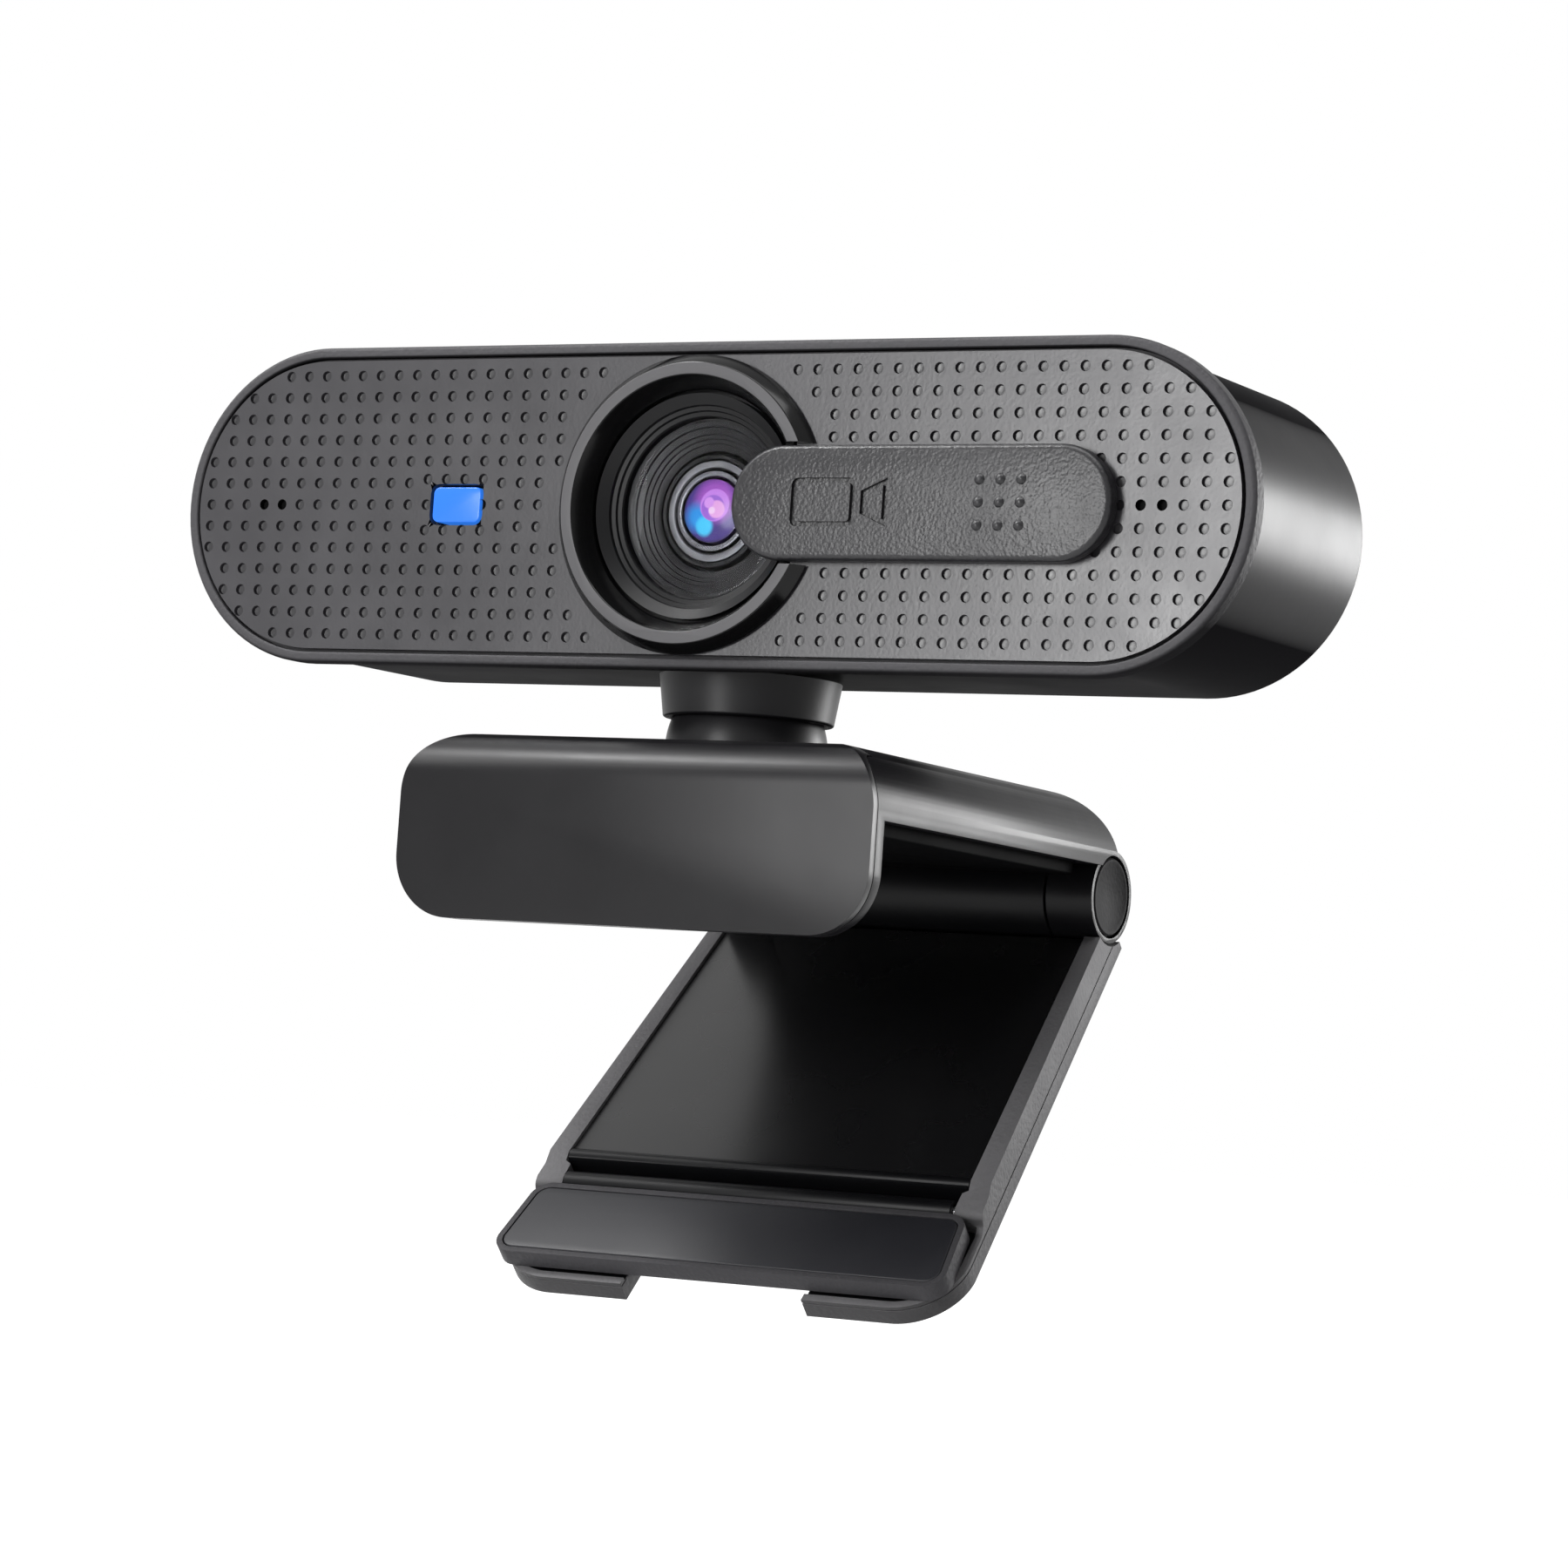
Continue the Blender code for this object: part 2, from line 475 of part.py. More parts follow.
def build_lens(head):
    ring = [
        (RING_FRONT_RADIUS, -RING_PROUD), (RING_RADIUS, -GAP), (RING_STEM, -GAP), (RING_STEM, BEZEL_DEPTH),
        (RING_BORE, BEZEL_DEPTH), (RING_BORE, RING_BORE_START), (RING_FRONT_RADIUS - RING_BAND, -RING_PROUD),
    ]
    lens_ring = turned("lens_ring", deep(ring), GLOSS, head)
    notch = SHUTTER_HALF_HEIGHT + GAP
    low = (0, -RING_PROUD - OVERCUT, -notch)
    with_tool(lens_ring, box_mesh("shutter_notch", low, (RING_RADIUS + OVERCUT, 0, notch)))

    glass_back = BAFFLE_GLASS_DEPTH + GLASS_THICKNESS + GAP
    outer, seat, bore = RING_BORE - GAP, GLASS_RADIUS + GAP, BARREL_RADIUS + GAP
    flange = (SHELL_FRONT, SHELL_FRONT + FLANGE_THICKNESS)
    baffle = [
        (outer, RING_BORE_START), (outer, flange[0]), (FLANGE_RADIUS, flange[0]), (FLANGE_RADIUS, flange[1]),
        (outer, flange[1]), (outer, BAFFLE_BACK), (bore, BAFFLE_BACK), (bore, BARREL_FRONT + GAP),
        (BAFFLE_THROAT, glass_back), (seat, glass_back), (seat, BAFFLE_GLASS_DEPTH),
    ]
    turned("lens_baffle", deep(baffle), MATTE, head)
    glass_front = BAFFLE_GLASS_DEPTH + GAP / 3
    glass = [(0, glass_front), (GLASS_RADIUS, glass_front), (GLASS_RADIUS, glass_front + GLASS_THICKNESS),
             (0, glass_front + GLASS_THICKNESS)]
    turned("cover_glass", deep(glass), GLASS, head, closed=False)

    barrel_back = BARREL_FRONT + BARREL_LENGTH
    lip_back = BARREL_FRONT + BARREL_LIP_DEPTH
    barrel = [
        (BARREL_RADIUS, BARREL_FRONT), (BARREL_RADIUS, barrel_back), (BARREL_BORE, barrel_back),
        (BARREL_BORE, lip_back), (BARREL_LIP, lip_back), (BARREL_LIP, BARREL_FRONT),
    ]
    turned("lens_barrel", deep(barrel), MATTE, head)
    ring_front, ring_back = BARREL_FRONT + FINE_GAP / 2, lip_back - FINE_GAP
    ring_outer = BARREL_LIP - FINE_GAP
    retainer = [(ring_outer, ring_front), (ring_outer, ring_back), (RETAINER_INNER, ring_back),
                (RETAINER_INNER, ring_front)]
    turned("lens_retaining_ring", deep(retainer), MATTE, head)
    seat_outer = RETAINER_INNER - FINE_GAP
    seat_ring = [(seat_outer, BARREL_FRONT), (seat_outer, BARREL_FRONT + SEAT_DEPTH),
                 (SEAT_INNER, BARREL_FRONT + SEAT_DEPTH), (SEAT_INNER, BARREL_FRONT)]
    turned("lens_seat_ring", deep(seat_ring), STEEL, head)
    edge = SEAT_INNER - FINE_GAP
    curve = (edge**2 + DOME_RISE**2) / (2 * DOME_RISE)
    crown = [(edge * step / 4, BARREL_FRONT - DOME_RISE + curve - math.sqrt(curve**2 - (edge * step / 4) ** 2))
             for step in range(5)]
    element = crown + [(edge, BARREL_FRONT + ELEMENT_THICKNESS), (0, BARREL_FRONT + ELEMENT_THICKNESS)]
    turned("front_element", deep(element), COATED, head, closed=False, steps=24)
    radius = BARREL_BORE - FINE_GAP
    back = REAR_ELEMENT_DEPTH + REAR_ELEMENT_THICKNESS
    rear = [(0, REAR_ELEMENT_DEPTH), (radius, REAR_ELEMENT_DEPTH), (radius, back), (0, back)]
    turned("rear_element", deep(rear), COATED, head, closed=False, steps=24)


def build_electronics(head):
    board_front, board_back = PCB_DEPTH, PCB_DEPTH + PCB_THICKNESS
    outline = rounded(PCB_HALF_WIDTH, PCB_HALF_HEIGHT, 1.0 * MM, (0, PCB_RAISE), 2)
    holes = [circle(place, SCREW_RADIUS + GAP, SMALL_STEPS) for place in pcb_screw_places()]
    add("main_board", slab_mesh("main_board", [outline, *holes], board_front, board_back), BOARD, head)

    holder_back = board_front - GAP
    holder = [rounded(HOLDER_HALF, HOLDER_HALF, 0.8 * MM, steps=2), circle((0, 0), BARREL_RADIUS + GAP, RING_STEPS)]
    mesh = slab_mesh("lens_holder", holder, holder_back - HOLDER_DEPTH, holder_back)
    add("lens_holder", mesh, MATTE, head)
    filter_front = BARREL_FRONT + BARREL_LENGTH + GAP
    square = rounded(FILTER_HALF, FILTER_HALF, 0.3 * MM, steps=1)
    mesh = slab_mesh("infrared_filter", [square], filter_front, filter_front + FILTER_THICKNESS)
    add("infrared_filter", mesh, GLASS, head)

    def on_board(name, half_width, half_height, thickness, place, material, front=True):
        low = board_front - GAP - thickness if front else board_back + GAP
        outline = rounded(half_width, half_height, 0.2 * MM, place, 1)
        add(name, slab_mesh(name, [outline], low, low + thickness), material, head)

    on_board("image_sensor", SENSOR_HALF_WIDTH, SENSOR_HALF_HEIGHT, SENSOR_THICKNESS, (0, 0), CHIP)
    on_board("status_led", LED_HALF_WIDTH, LED_HALF_HEIGHT, LED_THICKNESS, (LED_X, 0), BLUE)
    on_board("processor_chip", CHIP_HALF, CHIP_HALF, CHIP_THICKNESS, (CHIP_X, PCB_RAISE), CHIP, front=False)
    socket = (SOCKET_X, PCB_RAISE)
    on_board("cable_socket", SOCKET_HALF_WIDTH, SOCKET_HALF_HEIGHT, SOCKET_DEPTH, socket, NYLON, front=False)

    guide_back = board_front - 2 * GAP - LED_THICKNESS
    window = rounded(WINDOW_HALF_WIDTH, WINDOW_HALF_HEIGHT, WINDOW_CORNER, (LED_X, 0))
    add("led_window", slab_mesh("led_window", [window], 0, guide_back), BLUE, head)


def build_microphones(head):
    front = BEZEL_DEPTH + GAP
    capsule_front = front + GASKET_LIP + FINE_GAP
    capsule_back = capsule_front + MIC_LENGTH
    bore = MIC_RADIUS + FINE_GAP
    outer = bore + GASKET_WALL
    mouth = MIC_HOLE_PITCH / 2 + MIC_HOLE_RADIUS + FINE_GAP
    boot = [(outer, front), (outer, capsule_back), (bore, capsule_back), (bore, front + GASKET_LIP),
            (mouth, front + GASKET_LIP), (mouth, front)]
    capsule = [(0, capsule_front), (MIC_RADIUS, capsule_front), (MIC_RADIUS, capsule_back), (0, capsule_back)]
    for side, where in ((-1, "left"), (1, "right")):
        place = (side * MIC_X, 0, 0)
        turned(f"microphone_gasket_{where}", deep(boot), RUBBER, head, place, steps=24)
        turned(f"microphone_{where}", deep(capsule), STEEL, head, place, steps=24, closed=False)


def build_inlet(head):
    inside = SHELL_BACK - SHELL_WALL - GAP
    outside = SHELL_BACK + GAP
    profile = [
        (INLET_FLANGE, inside - SHELL_WALL), (INLET_FLANGE, inside), (INLET_RADIUS, inside),
        (INLET_RADIUS, outside), (INLET_FLANGE, outside), (INLET_RADIUS, outside + INLET_PROUD),
        (INLET_BORE, outside + INLET_PROUD), (INLET_BORE, inside - SHELL_WALL),
    ]
    turned("cable_inlet", deep(profile), RUBBER, head, steps=24)


def build_shutter(frame):
    back = -GAP
    centre = SHUTTER_LEFT + SHUTTER_LENGTH / 2
    outline = stadium(SHUTTER_LENGTH / 2, SHUTTER_HALF_HEIGHT, (centre, 0), 7)
    mesh = slab_mesh("privacy_shutter", [outline], back - SHUTTER_THICKNESS, back)
    shutter = add("privacy_shutter", mesh, TEXTURED, frame)
    bevelled(shutter, SHUTTER_EDGE, lambda middle: middle.y < back - SHUTTER_THICKNESS + WELD, segments=1)
    catch_front = FLOOR_FRONT
    tab_end = catch_front + CATCH_THICKNESS + FINE_GAP
    low = (TAB_X - TAB_HALF_LENGTH, back - SHUTTER_THICKNESS / 2, -TAB_HALF_HEIGHT)
    high = (TAB_X + TAB_HALF_LENGTH, tab_end, TAB_HALF_HEIGHT)
    with_tool(shutter, box_mesh("shutter_tab", low, high), "UNION")
    half_length, half_height = TAB_HALF_LENGTH + CATCH_MARGIN_X, TAB_HALF_HEIGHT + CATCH_MARGIN_Z
    plate = rounded(half_length, half_height, WINDOW_CORNER, (TAB_X, 0), 2)
    hole = [(TAB_X + sx * (TAB_HALF_LENGTH + FINE_GAP), sz * (TAB_HALF_HEIGHT + FINE_GAP))
            for sx, sz in ((1, 1), (-1, 1), (-1, -1), (1, -1))]
    mesh = slab_mesh("shutter_catch", [plate, hole], catch_front, catch_front + CATCH_THICKNESS)
    add("shutter_catch", mesh, NYLON, frame)


# Neck: heights from the centre of the dome


def build_neck(swivel, tilt):
    base = BRIDGE_TOP + GAP - DOME_CENTRE
    plate_bottom = BRIDGE_TOP - BRIDGE_WALL - DOME_CENTRE
    groove = (plate_bottom - GAP, plate_bottom - GAP - CIRCLIP_THICKNESS - 2 * FINE_GAP)
    groove_radius = STEM_RADIUS - GROOVE_DEPTH
    outer = sphere_arc(DOME_RADIUS, DOME_TOP, base, 8)
    stem = [(STEM_RADIUS, base), (STEM_RADIUS, groove[0]), (groove_radius, groove[0]), (groove_radius, groove[1]),
            (STEM_RADIUS, groove[1]), (STEM_RADIUS, -STEM_BOTTOM), (STEM_BORE, -STEM_BOTTOM)]
    lowest = sphere_radius(DOME_BORE, STEM_BORE)
    inner = sphere_arc(DOME_BORE, -lowest, DOME_BORE, 8)
    dome = turned("neck_dome", [(0, DOME_TOP)] + outer + stem + inner, TEXTURED, swivel,
                  axis="Z", steps=32, closed=False)
    half = TILT_SCREW_RADIUS + GAP
    reach = DOME_TOP * math.tan(TILT_LIMIT) + half / math.cos(TILT_LIMIT) + GAP
    low = (-half, -reach, DOME_BORE / 2)
    with_tool(dome, box_mesh("tilt_slot", low, (half, reach, DOME_TOP + OVERCUT)))

    inner_radius = groove_radius + FINE_GAP
    opening = 0.35
    clip = arc((0, 0), CIRCLIP_RADIUS, opening, 4 - opening, 28) + arc((0, 0), inner_radius, 4 - opening, opening, 28)
    low = groove[1] + FINE_GAP
    add("swivel_circlip", slab_mesh("swivel_circlip", [clip], low, low + CIRCLIP_THICKNESS, "XY"), STEEL, swivel)

    shell_floor = HEAD_BOTTOM - DOME_CENTRE
    top = shell_floor - GAP
    socket = DOME_RADIUS + GAP
    hole = TILT_SCREW_RADIUS + GAP
    collar = [(COLLAR_RADIUS + COLLAR_FLARE, top), (COLLAR_RADIUS, COLLAR_BOTTOM)]
    collar += sphere_arc(socket, COLLAR_BOTTOM, top, 6)
    turned("neck_collar", collar, TEXTURED, tilt, axis="Z", steps=32)

    washer_radius = DOME_BORE - FINE_GAP
    spread = math.pi / 2 - WASHER_SPREAD
    inner_radius = washer_radius - WASHER_THICKNESS
    top_hole = math.acos(hole / washer_radius)
    washer = [(washer_radius * math.cos(a), washer_radius * math.sin(a))
              for a in (top_hole + (spread - top_hole) * step / 4 for step in range(5))]
    top_hole = math.acos(hole / inner_radius)
    washer += [(inner_radius * math.cos(a), inner_radius * math.sin(a))
               for a in (spread + (top_hole - spread) * step / 4 for step in range(5))]
    turned("tilt_washer", washer, STEEL, tilt, axis="Z", steps=24)

    nut_low = shell_floor + SHELL_WALL + GAP
    nut = [circle((0, 0), NUT_RADIUS, 6), circle((0, 0), TILT_SCREW_RADIUS + FINE_GAP, SMALL_STEPS)]
    add("tilt_nut", slab_mesh("tilt_nut", nut, nut_low, nut_low + NUT_HEIGHT, "XY"), STEEL, tilt)
    head_top = -TILT_HEAD / 2
    length = nut_low + NUT_HEIGHT - head_top
    profile = [(0, length), (TILT_SCREW_RADIUS, length), (TILT_SCREW_RADIUS, 0), (TILT_HEAD_RADIUS, 0),
               (TILT_HEAD_RADIUS, -TILT_HEAD), (0, -TILT_HEAD)]
    place = (0, 0, head_top)
    turned("tilt_screw", profile, STEEL, tilt, place, axis="Z", steps=SMALL_STEPS, closed=False)

    bottom = head_top + SPRING_WIRE + FINE_GAP
    washer_low = inner_radius * math.sin(math.acos((SPRING_RADIUS + SPRING_WIRE) / inner_radius))
    height = washer_low - SPRING_WIRE - FINE_GAP - bottom
    curve = bpy.data.curves.new("tilt_spring", "CURVE")
    curve.dimensions = "3D"
    curve.bevel_depth = SPRING_WIRE
    curve.bevel_resolution = 1
    curve.use_fill_caps = True
    steps = SPRING_TURNS * 12
    spline = curve.splines.new("POLY")
    spline.points.add(steps)
    for step, point in enumerate(spline.points):
        angle = 2 * math.pi * SPRING_TURNS * step / steps
        x, y = SPRING_RADIUS * math.cos(angle), SPRING_RADIUS * math.sin(angle)
        point.co = (x, y, bottom + height * step / steps, 1)
    add("tilt_spring", curve, STEEL, tilt)


# Clip bridge, in the world's frame


def tapered(mesh, scale_at):
    """Scales the mesh's x by a share that depends on y."""
    for vertex in mesh.vertices:
        vertex.co.x *= scale_at(vertex.co.y)
    return mesh


def clip_tunnel(name, inset, front, back, corner):
    """The clip's rounded cross-section, narrowing from the front face to the hinge."""
    middle = (BRIDGE_TOP + BLOCK_BOTTOM) / 2
    half_height = (BRIDGE_TOP - BLOCK_BOTTOM) / 2 - inset
    outline = rounded(BRIDGE_HALF_WIDTH - inset, half_height, corner, (0, middle))
    mesh = slab_mesh(name, [outline], front, back)
    return tapered(mesh, lambda y: half_width_at(HINGE_Y - y) / BRIDGE_HALF_WIDTH)


def chamfered(mesh, back, top):
    """Cuts off the edge between the mesh's front and its top, at 45 degrees."""
    shape = bmesh.new()
    shape.from_mesh(mesh)
    everything = [*shape.verts, *shape.edges, *shape.faces]
    bmesh.ops.bisect_plane(shape, geom=everything, plane_co=(0, back, top), plane_no=(0, -1, 1), clear_outer=True)
    bmesh.ops.holes_fill(shape, edges=[edge for edge in shape.edges if edge.is_boundary])
    bmesh.ops.recalc_face_normals(shape, faces=shape.faces)
    shape.to_mesh(mesh)
    shape.free()
    return mesh


def brow(radius):
    """Side view of a roll round the brow's axis, from an upright face to level."""
    return arc((BROW_Y, BROW_Z), radius, 2, 1, BROW_STEPS)


def behind_cap(clearance, back):
    """Side view of what lies at least this far behind the cap, whose top rolls back over the bridge."""
    roll = brow(BRIDGE_BROW - CAP_THICKNESS - clearance)
    end = CAP_END + clearance
    low, high = BLOCK_BOTTOM - OVERCUT, BRIDGE_TOP + OVERCUT
    return [(roll[0][0], low), *roll, (end, roll[-1][1]), (end, high), (back, high), (back, low)]


def build_bridge():
    rear = HINGE_Y + BARREL_OUTER / 2
    top_rear = arc((rear - BRIDGE_REAR_RADIUS, BRIDGE_TOP - BRIDGE_REAR_RADIUS), BRIDGE_REAR_RADIUS, 0, 1, 7)
    top_rear = [(y, z) for y, z in top_rear if z > SKIRT_BOTTOM + GAP]
    crossing = BRIDGE_REAR_RADIUS - BRIDGE_TOP + SKIRT_BOTTOM
    rear_at_skirt = rear - BRIDGE_REAR_RADIUS + sphere_radius(BRIDGE_REAR_RADIUS, crossing)
    front = behind_cap(GAP, BLOCK_BACK)
    top_rear = [*top_rear[:-1], (rear - BRIDGE_REAR_RADIUS, front[-2][1])]
    side = [(rear_at_skirt, SKIRT_BOTTOM), *top_rear, *reversed(front[:-2]), front[-1], (BLOCK_BACK, SKIRT_BOTTOM)]
    reach = BRIDGE_HALF_WIDTH + OVERCUT
    shell = add("bridge_shell", slab_mesh("bridge_shell", [side], -reach, reach, "YZ"), SATIN, None)
    outer = clip_tunnel("bridge_tunnel", 0, BLOCK_FRONT - OVERCUT, rear + OVERCUT, BRIDGE_CORNER)
    with_tool(shell, outer, "INTERSECT")
    cavity = clip_tunnel("bridge_cavity", BRIDGE_WALL, BLOCK_BACK, COVER_BACK + GAP, BRIDGE_CORNER - BRIDGE_WALL)
    wall_behind_cap = (CAP_END + GAP + BRIDGE_WALL, BRIDGE_TOP - BRIDGE_WALL)
    with_tool(shell, chamfered(cavity, *wall_behind_cap))
    low = (-reach, BLOCK_BACK - STOP_RELIEF, -GAP)
    with_tool(shell, box_mesh("stop_relief", low, (reach, BLOCK_BACK + OVERCUT, SKIRT_BOTTOM - FINE_GAP)))

    axis = [(HINGE_Y, HINGE_Z)]
    knuckle = KNUCKLE_SEAM + GAP
    with_tool(shell, rods_mesh("leg_barrel_room", axis, BARREL_OUTER + GAP, -knuckle, knuckle, "X", 28))
    for side, where in ((-1, "left"), (1, "right")):
        ends = sorted((side * knuckle, side * HINGE_HALF_WIDTH))
        with_tool(shell, rods_mesh(f"knuckle_{where}", axis, BARREL_OUTER, *ends, "X", 28), "UNION")
        ends = sorted((side * (HINGE_HALF_WIDTH - HINGE_CAP_THICKNESS - GAP), side * (HINGE_HALF_WIDTH + OVERCUT)))
        with_tool(shell, rods_mesh(f"cap_recess_{where}", axis, HINGE_CAP_RADIUS + GAP, *ends, "X", 28))
        place = HINGE_HALF_WIDTH - HINGE_CAP_THICKNESS
        ends = sorted((side * place, side * HINGE_HALF_WIDTH))
        mesh = rods_mesh(f"hinge_cap_{where}", [(0, 0)], HINGE_CAP_RADIUS, *ends, "X", 28)
        add(f"hinge_cap_{where}", mesh, TEXTURED, None, (0, HINGE_Y, HINGE_Z))
    with_tool(shell, rods_mesh("pin_bore", axis, SHAFT_BORE, -HINGE_HALF_WIDTH, HINGE_HALF_WIDTH, "X"))
    pin = HINGE_HALF_WIDTH - PIN_INSET
    mesh = rods_mesh("hinge_pin", [(0, 0)], PIN_RADIUS, -pin, pin, "X")
    add("hinge_pin", mesh, STEEL, None, (0, HINGE_Y, HINGE_Z))

    with_tool(shell, rods_mesh("neck_hole", [(0, 0)], STEM_RADIUS + GAP, 0, BRIDGE_TOP + OVERCUT, "Z", 32))
    places = [(0, y) for y in COVER_SCREWS_Y.values()]
    low = COVER_THICKNESS + GAP
    bosses = rods_mesh("cover_bosses", places, BOSS_RADIUS, low, BRIDGE_TOP - BRIDGE_WALL / 2, "Z")
    with_tool(shell, bosses, "UNION")
    pilot = SCREW_RADIUS + FINE_GAP
    with_tool(shell, rods_mesh("cover_pilots", places, pilot, 0, BRIDGE_TOP - BRIDGE_WALL, "Z"))


def build_front_cap():
    """A thin plate over the clip's front, bent back along its top."""
    outer, inner = brow(BRIDGE_BROW), brow(BRIDGE_BROW - CAP_THICKNESS)
    outer[-1] = (CAP_END, BRIDGE_TOP + FINE_GAP)
    low, reach = BLOCK_BOTTOM - OVERCUT, BRIDGE_HALF_WIDTH + OVERCUT
    side = [(BRIDGE_FRONT, low), *outer, (CAP_END, inner[-1][1]), *reversed(inner), (CAP_BACK, low)]
    cap = add("bridge_front_cap", slab_mesh("bridge_front_cap", [side], -reach, reach, "YZ"), SATIN, None)
    tunnel = clip_tunnel("cap_tunnel", 0, BRIDGE_FRONT - OVERCUT, CAP_END + OVERCUT, BRIDGE_CORNER)
    with_tool(cap, tunnel, "INTERSECT")


def build_cover():
    front, back = BLOCK_BACK + GAP, COVER_BACK
    outline = [
        (side * (half_width_at(HINGE_Y - y) - COVER_INSET), y)
        for side, y in ((1, front), (1, back), (-1, back), (-1, front))
    ]
    holes = [circle((0, y), SCREW_RADIUS + GAP, SMALL_STEPS) for y in COVER_SCREWS_Y.values()]
    mesh = slab_mesh("underside_cover", [outline, *holes], 0, COVER_THICKNESS, "XY")
    cover = add("underside_cover", mesh, SATIN, None)
    places = [(0, y) for y in COVER_SCREWS_Y.values()]
    head = SCREW_HEAD + GAP
    with_tool(cover, rods_mesh("cover_sinks", places, SCREW_HEAD_RADIUS + GAP, -OVERCUT, head + FINE_GAP, "Z"))
    for where, y in COVER_SCREWS_Y.items():
        profile = screw_profile(SCREW_HEAD_RADIUS, SCREW_HEAD, SCREW_RADIUS, COVER_SCREW_LENGTH)
        screw = turned(f"cover_screw_{where}", profile, STEEL, None, (0, y, head), axis="Z", steps=SMALL_STEPS,
                       closed=False)
        screw.rotation_euler = (math.pi, 0, 0)


# Leg: local -y runs along the leg from the hinge, z is off its plane towards the screen


def leg_outline(start, end, inset, corner):
    """Half outlines mirrored into one: square at the hinge end, rounded and notched at the foot."""
    right = [(half_width_at(start) - inset, -start)]
    centre = (half_width_at(end) - inset - corner, -end + corner)
    foot = arc(centre, corner, 0, -1, CORNER_STEPS)
    notch_top = -end + NOTCH_DEPTH
    corner = (NOTCH_HALF_WIDTH - NOTCH_CORNER, notch_top - NOTCH_CORNER)
    inner = [(NOTCH_HALF_WIDTH, -end), *arc(corner, NOTCH_CORNER, 0, 1, 3)]
    right = right + foot + inner
    return right + [(-x, y) for x, y in reversed(right)]


def build_leg(leg):
    outline = leg_outline(LEG_START, LEG_LENGTH, 0, LEG_CORNER)
    shell = add("leg_shell", slab_mesh("leg_shell", [outline], LEG_BACK, LEG_INNER, "XY"), TEXTURED, leg)
    wide, beyond, above = half_width_at(LEG_LENGTH) + OVERCUT, LEG_LENGTH + OVERCUT, LEG_INNER + OVERCUT
    toe_start = LEG_LENGTH - TOE_THICKNESS
    right = [
        (half_width_at(LEG_START) - RAIL_WIDTH, OVERCUT), (half_width_at(RAIL_END) - RAIL_WIDTH, -RAIL_END),
        (EAR_INNER, -RAIL_END - GAP), (EAR_INNER, -EAR_END), (wide, -EAR_END), (wide, -beyond), (TOE_END, -beyond),
        (TOE_END, -toe_start),
    ]
    tray = right + [(-x, y) for x, y in reversed(right)]
    with_tool(shell, slab_mesh("leg_tray", [tray], LEG_FLOOR, above, "XY"))
    with_tool(shell, box_mesh("ear_tops", (-wide, -beyond, EAR_TOP), (wide, -RAIL_END, above)))
    toe = TOE_END + GAP
    with_tool(shell, box_mesh("toe_tops", (-toe, -beyond, TOE_TOP), (toe, GAP - toe_start, above)))
    for side, where in ((-1, "left"), (1, "right")):
        ends = sorted((side * (KNUCKLE_SEAM + FINE_GAP), side * (HINGE_HALF_WIDTH + OVERCUT)))
        room = rods_mesh(f"knuckle_room_{where}", [(0, 0)], BARREL_OUTER + GAP, *ends, "X", 28)
        with_tool(shell, room)
    barrel = rods_mesh("leg_barrel", [(0, 0)], BARREL_OUTER, -KNUCKLE_SEAM, KNUCKLE_SEAM, "X", 28)
    with_tool(shell, barrel, "UNION")
    through = KNUCKLE_SEAM + OVERCUT
    with_tool(shell, rods_mesh("leg_bore", [(0, 0)], SHAFT_BORE, -through, through, "X"))
    bush_outer = SHAFT_BORE + BUSH_WALL
    for side, where in ((-1, "left"), (1, "right")):
        ends = sorted((side * (KNUCKLE_SEAM - BUSH_LENGTH - GAP), side * through))
        with_tool(shell, rods_mesh(f"bush_seat_{where}", [(0, 0)], bush_outer + FINE_GAP, *ends, "X"))
        profile = [(bush_outer, BUSH_LENGTH / 2), (bush_outer, -BUSH_LENGTH / 2), (SHAFT_BORE, -BUSH_LENGTH / 2),
                   (SHAFT_BORE, BUSH_LENGTH / 2)]
        place = (side * (KNUCKLE_SEAM - BUSH_LENGTH / 2), 0, 0)
        turned(f"friction_bush_{where}", profile, NYLON, leg, place, axis="X", steps=SMALL_STEPS)
    pivot = half_width_at(PIVOT_ALONG) + OVERCUT
    bore = rods_mesh("pivot_bore", [(-PIVOT_ALONG, PIVOT_OFF)], PIVOT_BORE, -pivot, pivot, "X", 12)
    with_tool(shell, bore)
    pin = half_width_at(PIVOT_ALONG) - GAP
    mesh = rods_mesh("flap_pin", [(0, 0)], PIVOT_PIN, -pin, pin, "X", 12)
    add("flap_pin", mesh, STEEL, leg, (0, -PIVOT_ALONG, PIVOT_OFF))

    inset = RAIL_WIDTH + GAP
    start, end = BARREL_OUTER + GAP, RAIL_END - GAP
    outline = [(side * (half_width_at(along) - inset), -along)
               for side, along in ((1, start), (-1, start), (-1, end), (1, end))]
    mesh = slab_mesh("leg_cover", [outline], LEG_FLOOR + GAP, LEG_INNER - PANEL_INSET, "XY")
    cover = add("leg_cover", mesh, GLOSS, leg)
    half = half_width_at(end) - inset
    place = [(LIP_RADIUS - end, LEG_INNER - LIP_RADIUS)]
    with_tool(cover, rods_mesh("cover_lip", place, LIP_RADIUS, -half, half, "X"), "UNION")


# Flap, about its own pivot, in the leg's directions


def flap_outline(inset, corner):
    start, end = FLAP_START + inset - PIVOT_ALONG, LEG_LENGTH - TOE_THICKNESS - GAP - inset - PIVOT_ALONG
    narrow = half_width_at(FLAP_START) - FLAP_MARGIN - inset
    wide = half_width_at(LEG_LENGTH) - FLAP_MARGIN - inset
    right = arc((narrow - corner, -start - corner), corner, 1, 0, 3)
    right += arc((wide - corner, -end + corner), corner, 0, -1, 3)
    return right + [(-x, y) for x, y in reversed(right)]


